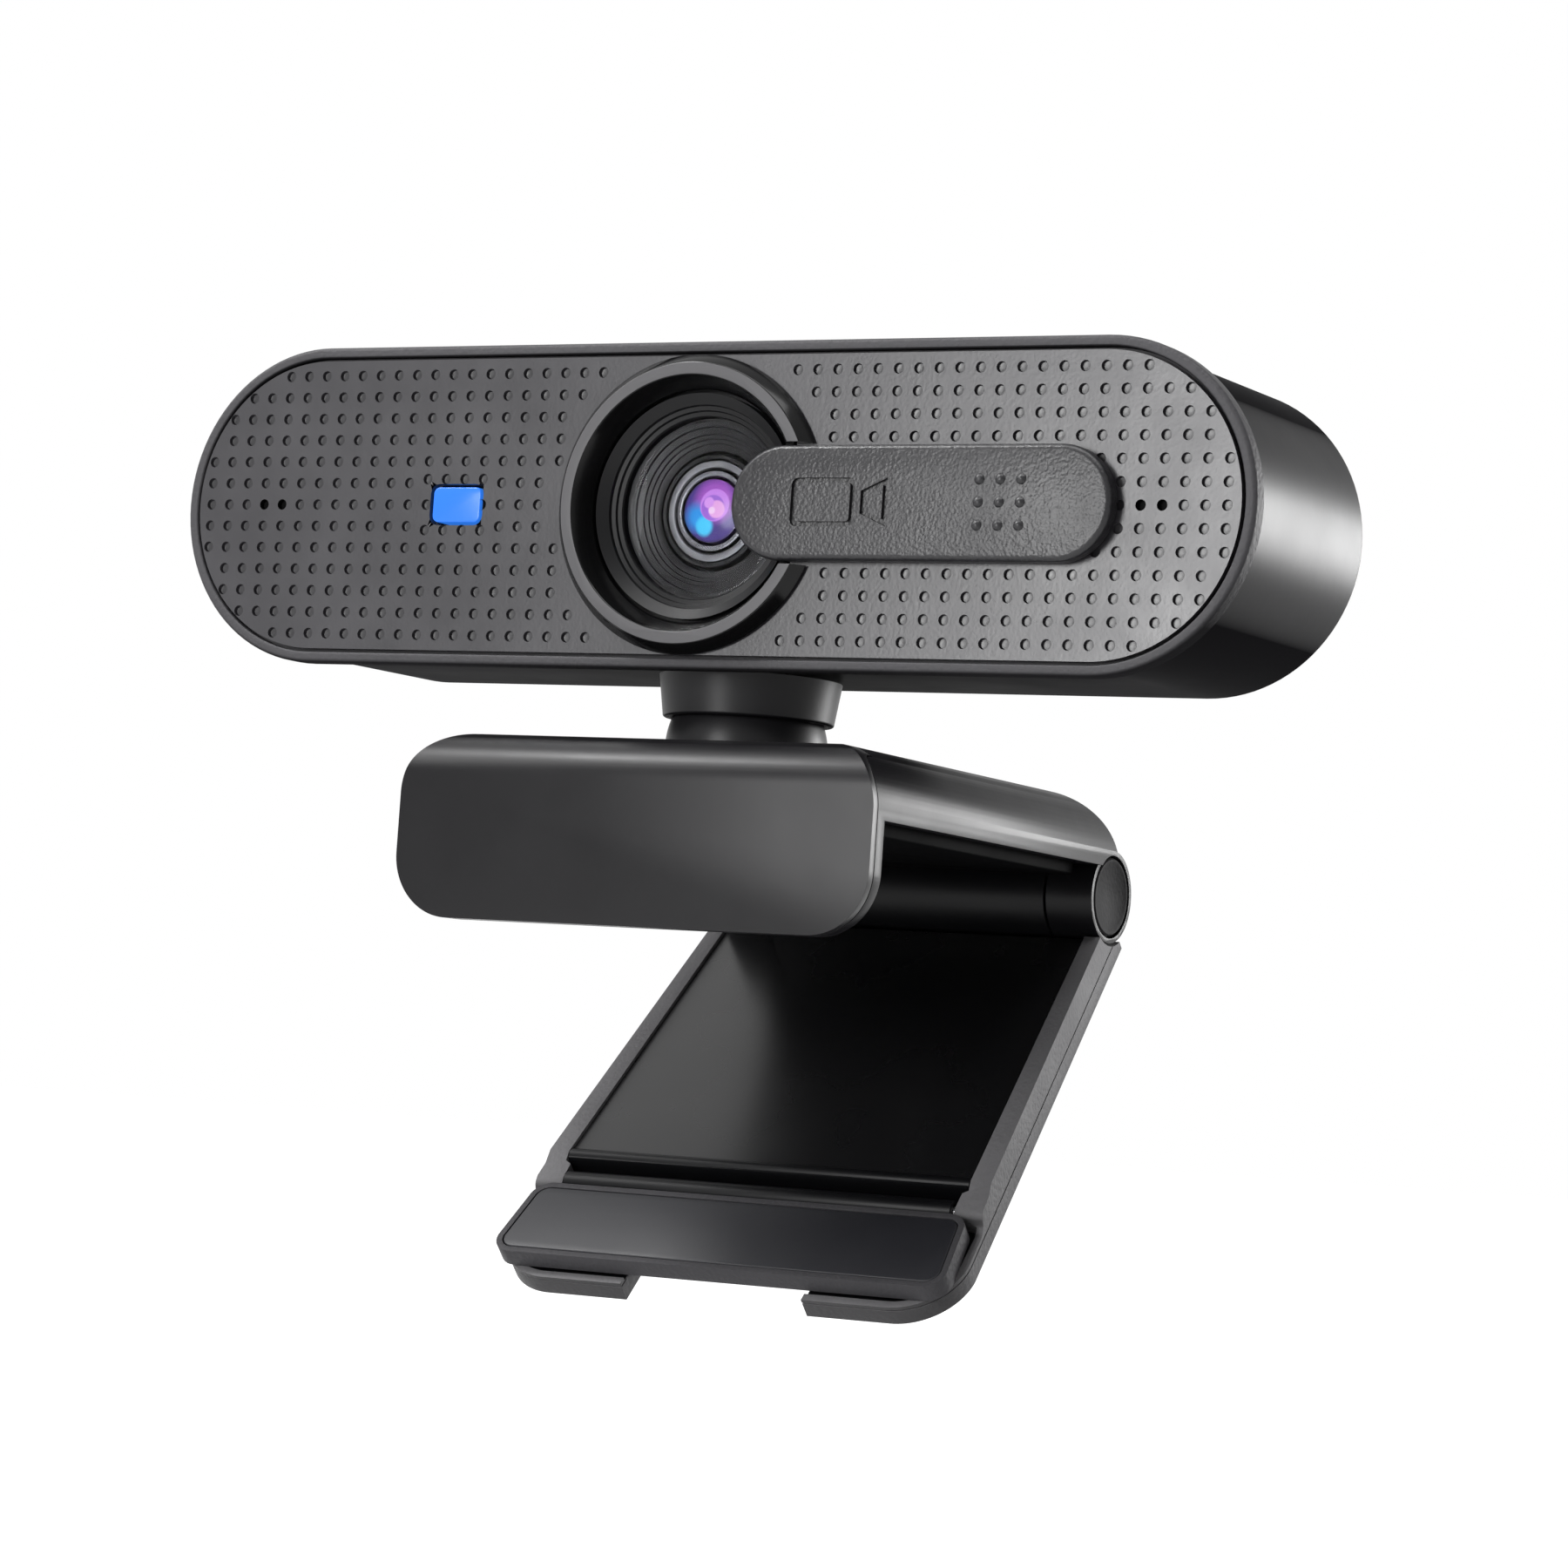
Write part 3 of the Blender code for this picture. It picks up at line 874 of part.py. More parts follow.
def build_flap(flap):
    top, bottom = FLAP_TOP - PIVOT_OFF, FLAP_TOP - FLAP_THICKNESS - PIVOT_OFF
    mesh = slab_mesh("foot_flap", [flap_outline(0, FLAP_CORNER)], bottom, top, "XY")
    piece = add("foot_flap", mesh, TEXTURED, flap)
    half = EAR_INNER - GAP
    with_tool(piece, rods_mesh("flap_barrel", [(0, 0)], PIVOT_BARREL, -half, half, "X", 14), "UNION")
    start = FLAP_START - PIVOT_ALONG + FLAP_CORNER
    web_low = (-half + FLAP_CORNER, -start, bottom + FINE_GAP)
    web_high = (half - FLAP_CORNER, 0, PIVOT_BARREL / 2)
    with_tool(piece, box_mesh("flap_web", web_low, web_high), "UNION")
    bore = half + OVERCUT
    with_tool(piece, rods_mesh("flap_bore", [(0, 0)], PIVOT_BORE, -bore, bore, "X", 12))
    pocket = flap_outline(PAD_BORDER, PAD_CORNER)
    with_tool(piece, slab_mesh("pad_pocket", [pocket], top - PAD_DEPTH, top + OVERCUT, "XY"))
    pad = flap_outline(PAD_BORDER + FINE_GAP, PAD_CORNER)
    low = top - PAD_DEPTH + FINE_GAP
    add("flap_pad", slab_mesh("flap_pad", [pad], low, top, "XY"), RUBBER, flap)


clear_scene()
PARTS = new_collection("clip_webcam")
TOOLS = new_collection("cutters")
TOOLS.hide_render = True

TEXTURED = new_material("textured_plastic", (0.035, 0.034, 0.036), 0.6)
PANEL_GREY = new_material("panel_grey", (0.1, 0.098, 0.105), 0.42)
GLOSS = new_material("satin_black", (0.012, 0.012, 0.013), 0.25)
SATIN = new_material("bridge_black", (0.02, 0.019, 0.021), 0.35)
MATTE = new_material("matte_black", (0.012, 0.012, 0.012), 0.6)
GLASS = new_material("clear_glass", (0.8, 0.85, 0.9), 0.03)
COATED = new_material("coated_glass", (0.08, 0.05, 0.2), 0.05)
STEEL = new_material("steel", (0.6, 0.6, 0.61), 0.3, 1.0)
BOARD = new_material("circuit_board", (0.01, 0.08, 0.03), 0.45)
CHIP = new_material("chip_black", (0.02, 0.02, 0.02), 0.4)
NYLON = new_material("white_nylon", (0.7, 0.68, 0.62), 0.5)
BLUE = new_material("blue_window", (0.03, 0.2, 0.85), 0.2)
RUBBER = new_material("black_rubber", (0.02, 0.02, 0.021), 0.7)

swivel_axis = new_frame("neck_pan_axis", Vector((0, 0, DOME_CENTRE)))
tilt_axis = new_frame("neck_tilt_axis", Vector((0, 0, 0)), swivel_axis)
head_frame = new_frame("lens_axis", Vector((0, -PANEL_AHEAD, LENS_HEIGHT - DOME_CENTRE)), tilt_axis)
shutter_frame = new_frame("shutter_slide", Vector((0, 0, 0)), head_frame)
leg_axis = new_frame("leg_hinge_axis", Vector((0, HINGE_Y, HINGE_Z)))
leg_axis.rotation_euler = (LEG_ANGLE, 0, 0)
flap_axis = new_frame("flap_hinge_axis", Vector((0, -PIVOT_ALONG, PIVOT_OFF)), leg_axis)

build_bezel(head_frame)
build_panel(head_frame)
build_shell(head_frame)
build_fasteners(head_frame)
build_lens(head_frame)
build_electronics(head_frame)
build_microphones(head_frame)
build_inlet(head_frame)
build_shutter(shutter_frame)
build_neck(swivel_axis, tilt_axis)
build_bridge()
build_front_cap()
build_cover()
build_leg(leg_axis)
build_flap(flap_axis)
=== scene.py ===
"""Looks of the clip-on webcam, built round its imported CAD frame. Lengths are in millimetres."""

import json
import math

import bmesh
import bpy
import numpy as np
from mathutils import Matrix, Vector, geometry


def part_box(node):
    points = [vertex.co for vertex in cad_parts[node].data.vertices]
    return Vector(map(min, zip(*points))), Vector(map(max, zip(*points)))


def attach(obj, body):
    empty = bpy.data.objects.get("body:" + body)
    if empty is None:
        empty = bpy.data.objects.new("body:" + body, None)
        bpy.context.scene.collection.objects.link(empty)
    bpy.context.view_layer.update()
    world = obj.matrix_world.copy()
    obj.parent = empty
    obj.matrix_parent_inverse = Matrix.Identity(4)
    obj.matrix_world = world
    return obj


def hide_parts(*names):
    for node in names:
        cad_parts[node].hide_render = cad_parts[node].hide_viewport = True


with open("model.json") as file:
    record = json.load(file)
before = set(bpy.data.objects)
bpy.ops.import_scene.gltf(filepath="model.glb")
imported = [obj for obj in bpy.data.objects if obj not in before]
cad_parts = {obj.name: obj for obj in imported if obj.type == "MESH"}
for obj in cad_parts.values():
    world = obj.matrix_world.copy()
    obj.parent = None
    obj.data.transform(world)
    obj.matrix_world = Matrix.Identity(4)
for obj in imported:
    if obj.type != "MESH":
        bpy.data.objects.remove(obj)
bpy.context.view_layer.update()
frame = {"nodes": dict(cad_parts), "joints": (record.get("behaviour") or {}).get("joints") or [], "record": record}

MM = 0.001
FINE = 24  # steps in a quarter turn of the large round shapes
ROUND = 96  # steps in a full turn
GAP = 0.3  # clearance between pieces
WELD = 0.0005  # points nearer than this become one
FLAT = math.radians(0.5)  # faces nearer in slope than this become one
THROUGH = 5  # how far a cutter reaches past what it cuts


def middle(node):
    low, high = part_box(node)
    return (low + high) / 2 / MM


def low_corner(node):
    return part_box(node)[0] / MM


def high_corner(node):
    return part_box(node)[1] / MM


# Frames that the shapes are built in
LENS = middle("lens_barrel")
PANEL_Y = low_corner("front_panel").y
HEAD = Matrix.Translation(Vector((0, PANEL_Y, LENS.z)) * MM)
MOUNTS = {mount["name"]: mount for mount in frame["record"]["mounts"]}
JOINTS = {joint["name"]: joint for joint in frame["joints"]}
PAD_NORMAL = Vector(MOUNTS["screen_back_pad"]["axis"])
LEG_ANGLE = math.atan2(-PAD_NORMAL.y, PAD_NORMAL.z)
NECK = Matrix.Translation(Vector((0, 0, JOINTS["neck_tilt"]["pos_m"][2])))
HINGE = Vector(JOINTS["leg_fold"]["pos_m"])
LEG = Matrix.Translation(HINGE) @ Matrix.Rotation(LEG_ANGLE, 4, "X")
WORLD = Matrix.Identity(4)


# Materials


class Shader:
    """A node material with one Principled shader and a few shortcuts."""

    def __init__(self, name, colour, roughness, metallic=0.0, specular=0.5):
        self.material = bpy.data.materials.new(name)
        self.material.use_nodes = True
        self.tree = self.material.node_tree
        self.bsdf = self.tree.nodes["Principled BSDF"]
        self.colour = colour
        self.set("Base Color", (*colour, 1))
        self.set("Roughness", roughness)
        self.set("Metallic", metallic)
        self.set("Specular IOR Level", specular)
        coordinates = self.tree.nodes.new("ShaderNodeTexCoord").outputs
        self.place, self.facing = coordinates["Object"], coordinates["Normal"]
        self.normal = None

    def set(self, socket, value):
        self.bsdf.inputs[socket].default_value = value
        return self

    def node(self, kind, **inputs):
        node = self.tree.nodes.new(kind)
        for name, value in inputs.items():
            socket = node.inputs[name.replace("_", " ")]
            if isinstance(value, bpy.types.NodeSocket):
                self.tree.links.new(value, socket)
            else:
                socket.default_value = value
        return node

    def link(self, output, socket):
        self.tree.links.new(output, self.bsdf.inputs[socket])
        return self

    def noise(self, scale, detail=2.0, roughness=0.5):
        settings = {"Scale": scale, "Detail": detail, "Roughness": roughness}
        return self.node("ShaderNodeTexNoise", Vector=self.place, **settings)

    def spread(self, value, low, high, start=0.3, end=0.7):
        """A value between start and end, stretched to run from low to high."""
        node = self.node("ShaderNodeMapRange", Value=value)
        for name, number in (("From Min", start), ("From Max", end), ("To Min", low), ("To Max", high)):
            node.inputs[name].default_value = number
        return node.outputs["Result"]

    def mix(self, factor, first, second, blend="MIX"):
        """Two colours mixed, each a plain colour or an output."""
        node = self.node("ShaderNodeMix", Factor=factor)
        node.data_type, node.blend_type = "RGBA", blend
        sockets = [socket for socket in node.inputs if socket.type == "RGBA"]
        for socket, colour in zip(sockets, (first, second)):
            if isinstance(colour, bpy.types.NodeSocket):
                self.tree.links.new(colour, socket)
            else:
                socket.default_value = (*colour, 1)
        return next(socket for socket in node.outputs if socket.type == "RGBA")

    def vary(self, scale, colour_by=0.0, roughness=None):
        """Colour and roughness that drift over the surface."""
        cloud = self.noise(scale, 4.0, 0.6).outputs["Fac"]
        if colour_by:
            shares = (1 - colour_by, 1 + colour_by)
            dark, light = ([channel * share for channel in self.colour] for share in shares)
            self.link(self.mix(self.spread(cloud, 0, 1), dark, light), "Base Color")
        if roughness:
            self.link(self.spread(cloud, *roughness), "Roughness")
        return self

    def bump(self, height, distance):
        """A bump on top of the bumps added before it."""
        node = self.node("ShaderNodeBump", Height=height, Distance=distance, Strength=1.0)
        if self.normal:
            self.tree.links.new(self.normal, node.inputs["Normal"])
        self.normal = node.outputs["Normal"]
        return self.link(self.normal, "Normal")

    def grain(self, scale, distance):
        return self.bump(self.noise(scale).outputs["Fac"], distance)

    def sparkle(self, scale, distance):
        """Rounded grains like those of a spark-eroded mould."""
        cells = self.node("ShaderNodeTexVoronoi", Vector=self.place, Scale=scale)
        cells.feature = "SMOOTH_F1"
        return self.bump(cells.outputs["Distance"], distance)

    def slope(self, axis):
        """How far a face looks along an axis of its object, from -1 to 1."""
        return self.node("ShaderNodeSeparateXYZ", Vector=self.facing).outputs[axis]

    def painted_shade_facing(self, axis, start, end, share):
        """Painted shade: a deeper colour on the faces that look along one axis, as if shade fell on them."""
        base = self.bsdf.inputs["Base Color"]
        plain = base.links[0].from_socket if base.is_linked else self.colour
        amount = self.spread(self.slope(axis), 0, 1, start, end)
        return self.link(self.mix(amount, plain, (share, share, share), "MULTIPLY"), "Base Color")

    def painted_reflection_shade(self, specular, both=True):
        """Painted shade: less reflection on the faces that look down and, with both, on those that look up."""
        level = combined(self.tree, "ABSOLUTE" if both else "MULTIPLY", self.slope("Z"), -1)
        usual = self.bsdf.inputs["Specular IOR Level"].default_value
        return self.link(self.spread(level, usual, specular, 0.1, 0.7), "Specular IOR Level")


def combined(tree, operation, first, second):
    """The output of a Math node whose first input is an output, and the second an output or a number."""
    node = tree.nodes.new("ShaderNodeMath")
    node.operation = operation
    tree.links.new(first, node.inputs[0])
    if isinstance(second, bpy.types.NodeSocket):
        tree.links.new(second, node.inputs[1])
    else:
        node.inputs[1].default_value = second
    return node.outputs[0]


def textured(name, colour, roughness, grain, scale=2600, specular=0.3):
    """Plastic or rubber with the grain of its mould."""
    shader = Shader(name, colour, sum(roughness) / 2, specular=specular)
    return shader.vary(120, 0.08, roughness).sparkle(scale, grain * MM).grain(scale * 2, grain * MM / 2)


def moulded(name, colour, roughness, grain=0.004, specular=0.3):
    """Smooth plastic with a faint orange-peel and drifting gloss."""
    shader = Shader(name, colour, sum(roughness) / 2, specular=specular)
    return shader.vary(60, 0.05, roughness).grain(900, grain * MM).grain(7000, grain * MM / 3)


def metal(name, colour, roughness):
    shader = Shader(name, colour, sum(roughness) / 2, metallic=1.0)
    return shader.vary(900, 0.06, roughness).grain(5000, 0.003 * MM)


PANEL = textured("panel_plastic", (0.017, 0.0162, 0.0188), (0.31, 0.38), 0.008, 3200, 0.5).material
RIM = textured("rim_plastic", (0.038, 0.037, 0.04), (0.5, 0.6), 0.045, 2300, 0.18)
# Painted shade: the rim's faces that look down take a deeper colour and lose their reflection.
RIM = RIM.painted_reflection_shade(0.0004, both=False).painted_shade_facing("Z", -0.2, -0.7, 0.35).material
SHUTTER = textured("shutter_plastic", (0.011, 0.0107, 0.0122), (0.3, 0.38), 0.032, 3500, 0.3).material
STRIP = textured("leg_plastic", (0.11, 0.108, 0.112), (0.5, 0.62), 0.05, 2300, 0.1)
# Painted shade: the leg's faces that look back and those that look down take a deeper colour.
STRIP = STRIP.painted_shade_facing("Y", 0.1, 0.5, 0.12).painted_shade_facing("Z", 0.3, -0.4, 0.4).material
FOOT = textured("foot_plastic", (0.04, 0.039, 0.042), (0.5, 0.62), 0.05, 2300, 0.08).material
DISC = textured("disc_plastic", (0.005, 0.0048, 0.0054), (0.55, 0.65), 0.03, 2300, 0.05).material
SHELL = moulded("shell_plastic", (0.005, 0.0048, 0.0055), (0.36, 0.42), specular=0.12)
# Painted shade: the shell's faces that look up and down lose their reflection.
SHELL = SHELL.painted_reflection_shade(0.0004).material
RING = moulded("ring_plastic", (0.003, 0.003, 0.0032), (0.12, 0.18), specular=0.15).material
# Painted sheen: a lighter grey for the ring's front face, standing in for the reflection along it.
RING_FRONT_SHEEN = moulded("ring_front_painted_sheen", (0.06, 0.059, 0.062), (0.4, 0.48), specular=0.2).material
DISH = moulded("dish_plastic", (0.004, 0.004, 0.0045), (0.34, 0.44), 0.001, 0.15).material
COLLAR = moulded("collar_plastic", (0.008, 0.0078, 0.0088), (0.34, 0.42), specular=0.2)
# Painted shade: the collar's faces that look up and down lose their reflection.
COLLAR = COLLAR.painted_reflection_shade(0.01).material
BRIDGE = moulded("bridge_plastic", (0.005, 0.0048, 0.0056), (0.32, 0.4), specular=0.14)
# Painted shade: the bridge's faces that look up and down lose their reflection.
BRIDGE = BRIDGE.painted_reflection_shade(0.03).material
CAP = moulded("cap_plastic", (0.0045, 0.0043, 0.005), (0.31, 0.38), specular=0.17).material
COVER = moulded("cover_plastic", (0.006, 0.006, 0.0065), (0.24, 0.3), 0.0005, 0.38).material
# Smooth black of the hinge barrel, and painted shade where the barrel, the tray floor by it, the cover's lip and
# the flap's barrel sit in shade between parts.
BARREL_SHADE_BLACK = moulded("barrel_painted_shade", (0.003, 0.003, 0.0035), (0.34, 0.42), specular=0.12).material
# Painted shade: near black with almost no reflection, standing in for the shade under the bridge.
PLATE_PAINTED_SHADE = moulded("plate_painted_shade", (0.002, 0.002, 0.0022), (0.5, 0.6), specular=0.01).material
PAD = moulded("pad_rubber", (0.009, 0.009, 0.0115), (0.4, 0.5), 0.008, 0.28).material
# Painted shade: black for the walls and floors of the microphone holes, standing in for the dark inside the head.
HOLE_SHADE = moulded("hole_painted_shade", (0.001, 0.001, 0.001), (0.6, 0.7), specular=0.05).material
RUBBER = textured("inlet_rubber", (0.012, 0.012, 0.0125), (0.6, 0.72), 0.02).material
STEEL = metal("machined_steel", (0.56, 0.56, 0.58), (0.24, 0.36)).material
SEAT_STEEL = metal("seat_steel", (0.12, 0.12, 0.13), (0.2, 0.28)).material
DARK_STEEL = metal("black_oxide", (0.09, 0.09, 0.095), (0.3, 0.42)).material
NYLON = moulded("nylon", (0.62, 0.6, 0.55), (0.42, 0.54)).material
CHIP = textured("chip_epoxy", (0.02, 0.02, 0.021), (0.42, 0.55), 0.01).material
BOARD = moulded("solder_mask", (0.008, 0.06, 0.026), (0.28, 0.4)).material
LED = moulded("led_plastic", (0.004, 0.05, 0.3), (0.2, 0.28))
LED.set("Emission Color", (0.03, 0.2, 0.8, 1)).set("Emission Strength", 0.8)
LED = LED.material


def glass(name, colour, roughness, ior):
    shader = Shader(name, colour, roughness)
    shader.set("Transmission Weight", 1.0).set("IOR", ior)
    return shader.vary(300, 0.0, (roughness, roughness + 0.015))


COVER_GLASS = glass("cover_glass_clear", (0.97, 0.98, 1.0), 0.02, 1.12).material
FILTER = glass("filter_glass", (0.5, 0.85, 0.9), 0.04, 1.5).material


def painted_lens_reflections():
    """A dark glass dome with painted round reflections of a multi-coated lens, in blue, violet and pink, which
    don't move with the light.
    """
    shader = Shader("lens_painted_reflections", (0.05, 0.03, 0.2), 0.3)

    def patch(centre, radius, edge):
        """One inside a round patch of the lens, falling to nothing over its edge."""
        place = shader.node("ShaderNodeVectorMath", Vector=shader.place)
        place.operation = "MULTIPLY_ADD"
        place.inputs[1].default_value = (1, 0, 1)
        place.inputs[2].default_value = (-centre[0] * MM, 0, -centre[1] * MM)
        length = shader.node("ShaderNodeVectorMath", Vector=place.outputs["Vector"])
        length.operation = "LENGTH"
        return shader.spread(length.outputs["Value"], 1, 0, (radius - edge) * MM, (radius + edge) * MM)

    # Centre across and up, radius, softness of the edge, colour of each painted reflection
    layers = [
        ((0.0, 0.0), 2.75, 0.15, (0.036, 0.02, 0.136)),
        ((0.3, 0.9), 1.9, 0.5, (0.216, 0.053, 0.31)),
        ((-1.4, -0.6), 1.1, 0.5, (0.014, 0.165, 0.434)),
        ((-0.6, -1.4), 0.85, 0.2, (0.036, 0.33, 0.527)),
        ((0.35, 0.5), 1.45, 0.06, (0.36, 0.145, 0.496)),
        ((0.2, 0.25), 1.15, 0.06, (0.202, 0.079, 0.384)),
        ((0.6, 0.1), 0.8, 0.08, (0.518, 0.251, 0.496)),
        ((-0.2, 0.7), 0.5, 0.06, (0.432, 0.198, 0.527)),
        ((0.15, 0.0), 0.32, 0.05, (0.576, 0.396, 0.558)),
    ]
    colour = (0.01, 0.005, 0.03)
    for centre, radius, edge, tint in layers:
        colour = shader.mix(patch(centre, radius, edge), colour, tint)
    shader.link(colour, "Base Color")
    shader.set("Coat Weight", 0.15).set("Coat Roughness", 0.05).set("Specular IOR Level", 0.1)
    return shader.material


LENS_REFLECTIONS_PAINTED = painted_lens_reflections()


# Outlines and profiles, as lists of points


def arc(centre, radius, start, end, steps):
    """Points of an arc, with its angles in quarter turns."""
    points = []
    for step in range(steps + 1):
        angle = (start + (end - start) * step / steps) * math.pi / 2
        points.append((centre[0] + radius * math.cos(angle), centre[1] + radius * math.sin(angle)))
    return points


def circle(centre, radius, steps=ROUND):
    return arc(centre, radius, 0, 4, steps)[:-1]


def rounded(half_width, half_height, radius, centre=(0, 0), steps=8):
    points = []
    for quarter, (sx, sy) in enumerate(((1, 1), (-1, 1), (-1, -1), (1, -1))):
        corner = (centre[0] + sx * (half_width - radius), centre[1] + sy * (half_height - radius))
        points += arc(corner, radius, quarter, quarter + 1, steps)
    return points


def stadium(half_width, half_height, centre=(0, 0), steps=FINE):
    reach = half_width - half_height
    right = arc((centre[0] + reach, centre[1]), half_height, -1, 1, 2 * steps)
    return right + arc((centre[0] - reach, centre[1]), half_height, 1, 3, 2 * steps)


NEARLY_STRAIGHT = math.radians(155)  # corners flatter than this stay as they are
CORNER_SHARE = 0.45  # the most of an edge that a rounded corner takes


def softened(points, radius, closed=True, steps=3):
    """The outline with each corner rounded off."""
    result = []
    count = len(points)
    for index, point in enumerate(points):
        if not closed and index in (0, count - 1):
            result.append(point)
            continue
        here = Vector(point)
        before, after = Vector(points[index - 1]) - here, Vector(points[(index + 1) % count]) - here
        if before.angle(after, math.pi) > NEARLY_STRAIGHT:
            result.append(point)
            continue
        reach = min(radius, before.length * CORNER_SHARE, after.length * CORNER_SHARE)
        start, end = here + before.normalized() * reach, here + after.normalized() * reach
        for step in range(steps + 1):
            t = step / steps
            result.append(tuple(start * (1 - t) ** 2 + here * 2 * t * (1 - t) + end * t**2))
    return result


# Meshes, in millimetres until they are placed


def linked(name, data):
    """A new object in the scene."""
    obj = bpy.data.objects.new(name, data)
    bpy.context.scene.collection.objects.link(obj)
    return obj


def baked(obj):
    """A mesh of the object with its modifiers applied."""
    return bpy.data.meshes.new_from_object(obj.evaluated_get(bpy.context.evaluated_depsgraph_get()))


def clean_mesh(name, shape, matrix, dissolve=False):
    bmesh.ops.remove_doubles(shape, verts=shape.verts, dist=WELD)
    if dissolve:
        bmesh.ops.dissolve_limit(shape, angle_limit=FLAT, verts=shape.verts, edges=shape.edges)
    bmesh.ops.recalc_face_normals(shape, faces=shape.faces)
    bmesh.ops.transform(shape, matrix=matrix @ Matrix.Scale(MM, 4), verts=shape.verts)
    mesh = bpy.data.meshes.new(name)
    shape.to_mesh(mesh)
    shape.free()
    return mesh


def turned(name, profile, matrix=HEAD, reach=0.0, steps=ROUND, closed=True, axis="Y", centre=(0, 0, 0)):
    """A profile of (radius, place along the axis), swept round a circle or a stadium of that reach."""
    quarter = steps // 4
    ring = []
    for centre_x, start in ((reach, -1), (-reach, 1)):
        for step in range(2 * quarter + (1 if reach else 0)):
            ring.append((centre_x, (start + step / quarter) * math.pi / 2))
    shape = bmesh.new()
    rows = []
    for radius, height in profile:
        row = []
        for centre_x, angle in ring:
            a, b = centre_x + radius * math.cos(angle), radius * math.sin(angle)
            place = {"Y": (a, height, b), "Z": (a, b, height), "X": (height, a, b)}[axis]
            row.append(shape.verts.new(Vector(place) + Vector(centre)))
        rows.append(row)
    pairs = list(zip(rows, rows[1:])) + ([(rows[-1], rows[0])] if closed else [])
    count = len(ring)
    for first, second in pairs:
        for i in range(count):
            shape.faces.new((first[i], first[(i + 1) % count], second[(i + 1) % count], second[i]))
    return clean_mesh(name, shape, matrix)


AXES = {
    "XY": WORLD,
    "XZ": Matrix(((1, 0, 0, 0), (0, 0, -1, 0), (0, 1, 0, 0), (0, 0, 0, 1))),
    "YZ": Matrix(((0, 0, 1, 0), (1, 0, 0, 0), (0, 1, 0, 0), (0, 0, 0, 1))),
}


def slab(name, loops, low, high, plane="XZ", matrix=HEAD):
    """A flat outline with its holes, extruded between two places on the third axis."""
    curve = bpy.data.curves.new(name, "CURVE")
    curve.dimensions = "2D"
    curve.fill_mode = "BOTH"
    curve.extrude = (high - low) / 2
    for points in loops:
        spline = curve.splines.new("POLY")
        spline.points.add(len(points) - 1)
        for point, place in zip(spline.points, points):
            point.co = (*place, 0, 1)
        spline.use_cyclic_u = True
    guide = linked(name, curve)
    made = baked(guide)
    bpy.data.objects.remove(guide, do_unlink=True)
    bpy.data.curves.remove(curve)
    shape = bmesh.new()
    shape.from_mesh(made)
    bpy.data.meshes.remove(made)
    centre = (low + high) / 2
    shift = Matrix.Translation((0, 0, -centre if plane == "XZ" else centre))
    bmesh.ops.transform(shape, matrix=AXES[plane] @ shift, verts=shape.verts)
    return clean_mesh(name, shape, matrix, dissolve=True)


def rod(name, centre, radius, low, high, axis="Y", matrix=HEAD, steps=48):
    profile = [(0, low), (radius, low), (radius, high), (0, high)]
    return turned(name, profile, matrix, steps=steps, closed=False, axis=axis, centre=centre)


def block(name, low, high, matrix=HEAD):
    shape = bmesh.new()
    bmesh.ops.create_cube(shape, size=1)
    size = [b - a for a, b in zip(low, high)]
    centre = [(a + b) / 2 for a, b in zip(low, high)]
    place = Matrix.Translation(centre) @ Matrix.Diagonal((*size, 1))
    bmesh.ops.transform(shape, matrix=place, verts=shape.verts)
    return clean_mesh(name, shape, matrix)


def shaped(mesh, *steps):
    """The mesh after Booleans with other meshes, each given as (operation, mesh)."""
    obj = linked(mesh.name, mesh)
    tools = []
    for operation, tool_mesh in steps:
        tool = linked("tool", tool_mesh)
        tools.append(tool)
        boolean = obj.modifiers.new(operation, "BOOLEAN")
        boolean.operation = operation
        boolean.object = tool
    bpy.context.view_layer.update()
    result = baked(obj)
    for thing in [obj, *tools]:
        data = thing.data
        bpy.data.objects.remove(thing, do_unlink=True)
        bpy.data.meshes.remove(data)
    shape = bmesh.new()
    shape.from_mesh(result)
    bmesh.ops.remove_doubles(shape, verts=shape.verts, dist=WELD * MM)
    bmesh.ops.dissolve_limit(shape, angle_limit=FLAT, verts=shape.verts, edges=shape.edges)
    shape.to_mesh(result)
    shape.free()
    return result


CUT, JOIN, KEEP = "DIFFERENCE", "UNION", "INTERSECT"
SHARP = 40  # edges sharper than this many degrees are bevelled


def piece(name, mesh, material, body, slot, *nodes, bevel=0.0, smooth=35, segments=3, inlay=None,
          place=WORLD):
    """An object that rides a body. An inlay is a material and a test of the faces' centres for it."""
    obj = linked(name, mesh)
    mesh.name = name
    mesh.materials.clear()
    mesh.materials.append(material)
    if bevel:
        modifier = obj.modifiers.new("edges", "BEVEL")
        modifier.width = bevel * MM
        modifier.segments = segments
        modifier.limit_method = "ANGLE"
        modifier.angle_limit = math.radians(SHARP)
        bpy.context.view_layer.update()
        obj.data = baked(obj)
        obj.modifiers.clear()
        bpy.data.meshes.remove(mesh)
    obj.data.shade_smooth()
    obj.data.set_sharp_from_angle(angle=math.radians(smooth))
    if inlay:
        second, belongs = inlay
        obj.data.materials.append(second)
        for polygon in obj.data.polygons:
            polygon.material_index = int(belongs(polygon.center / MM))
    obj.matrix_world = place
    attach(obj, body)
    if nodes:
        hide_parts(*nodes)


# Head

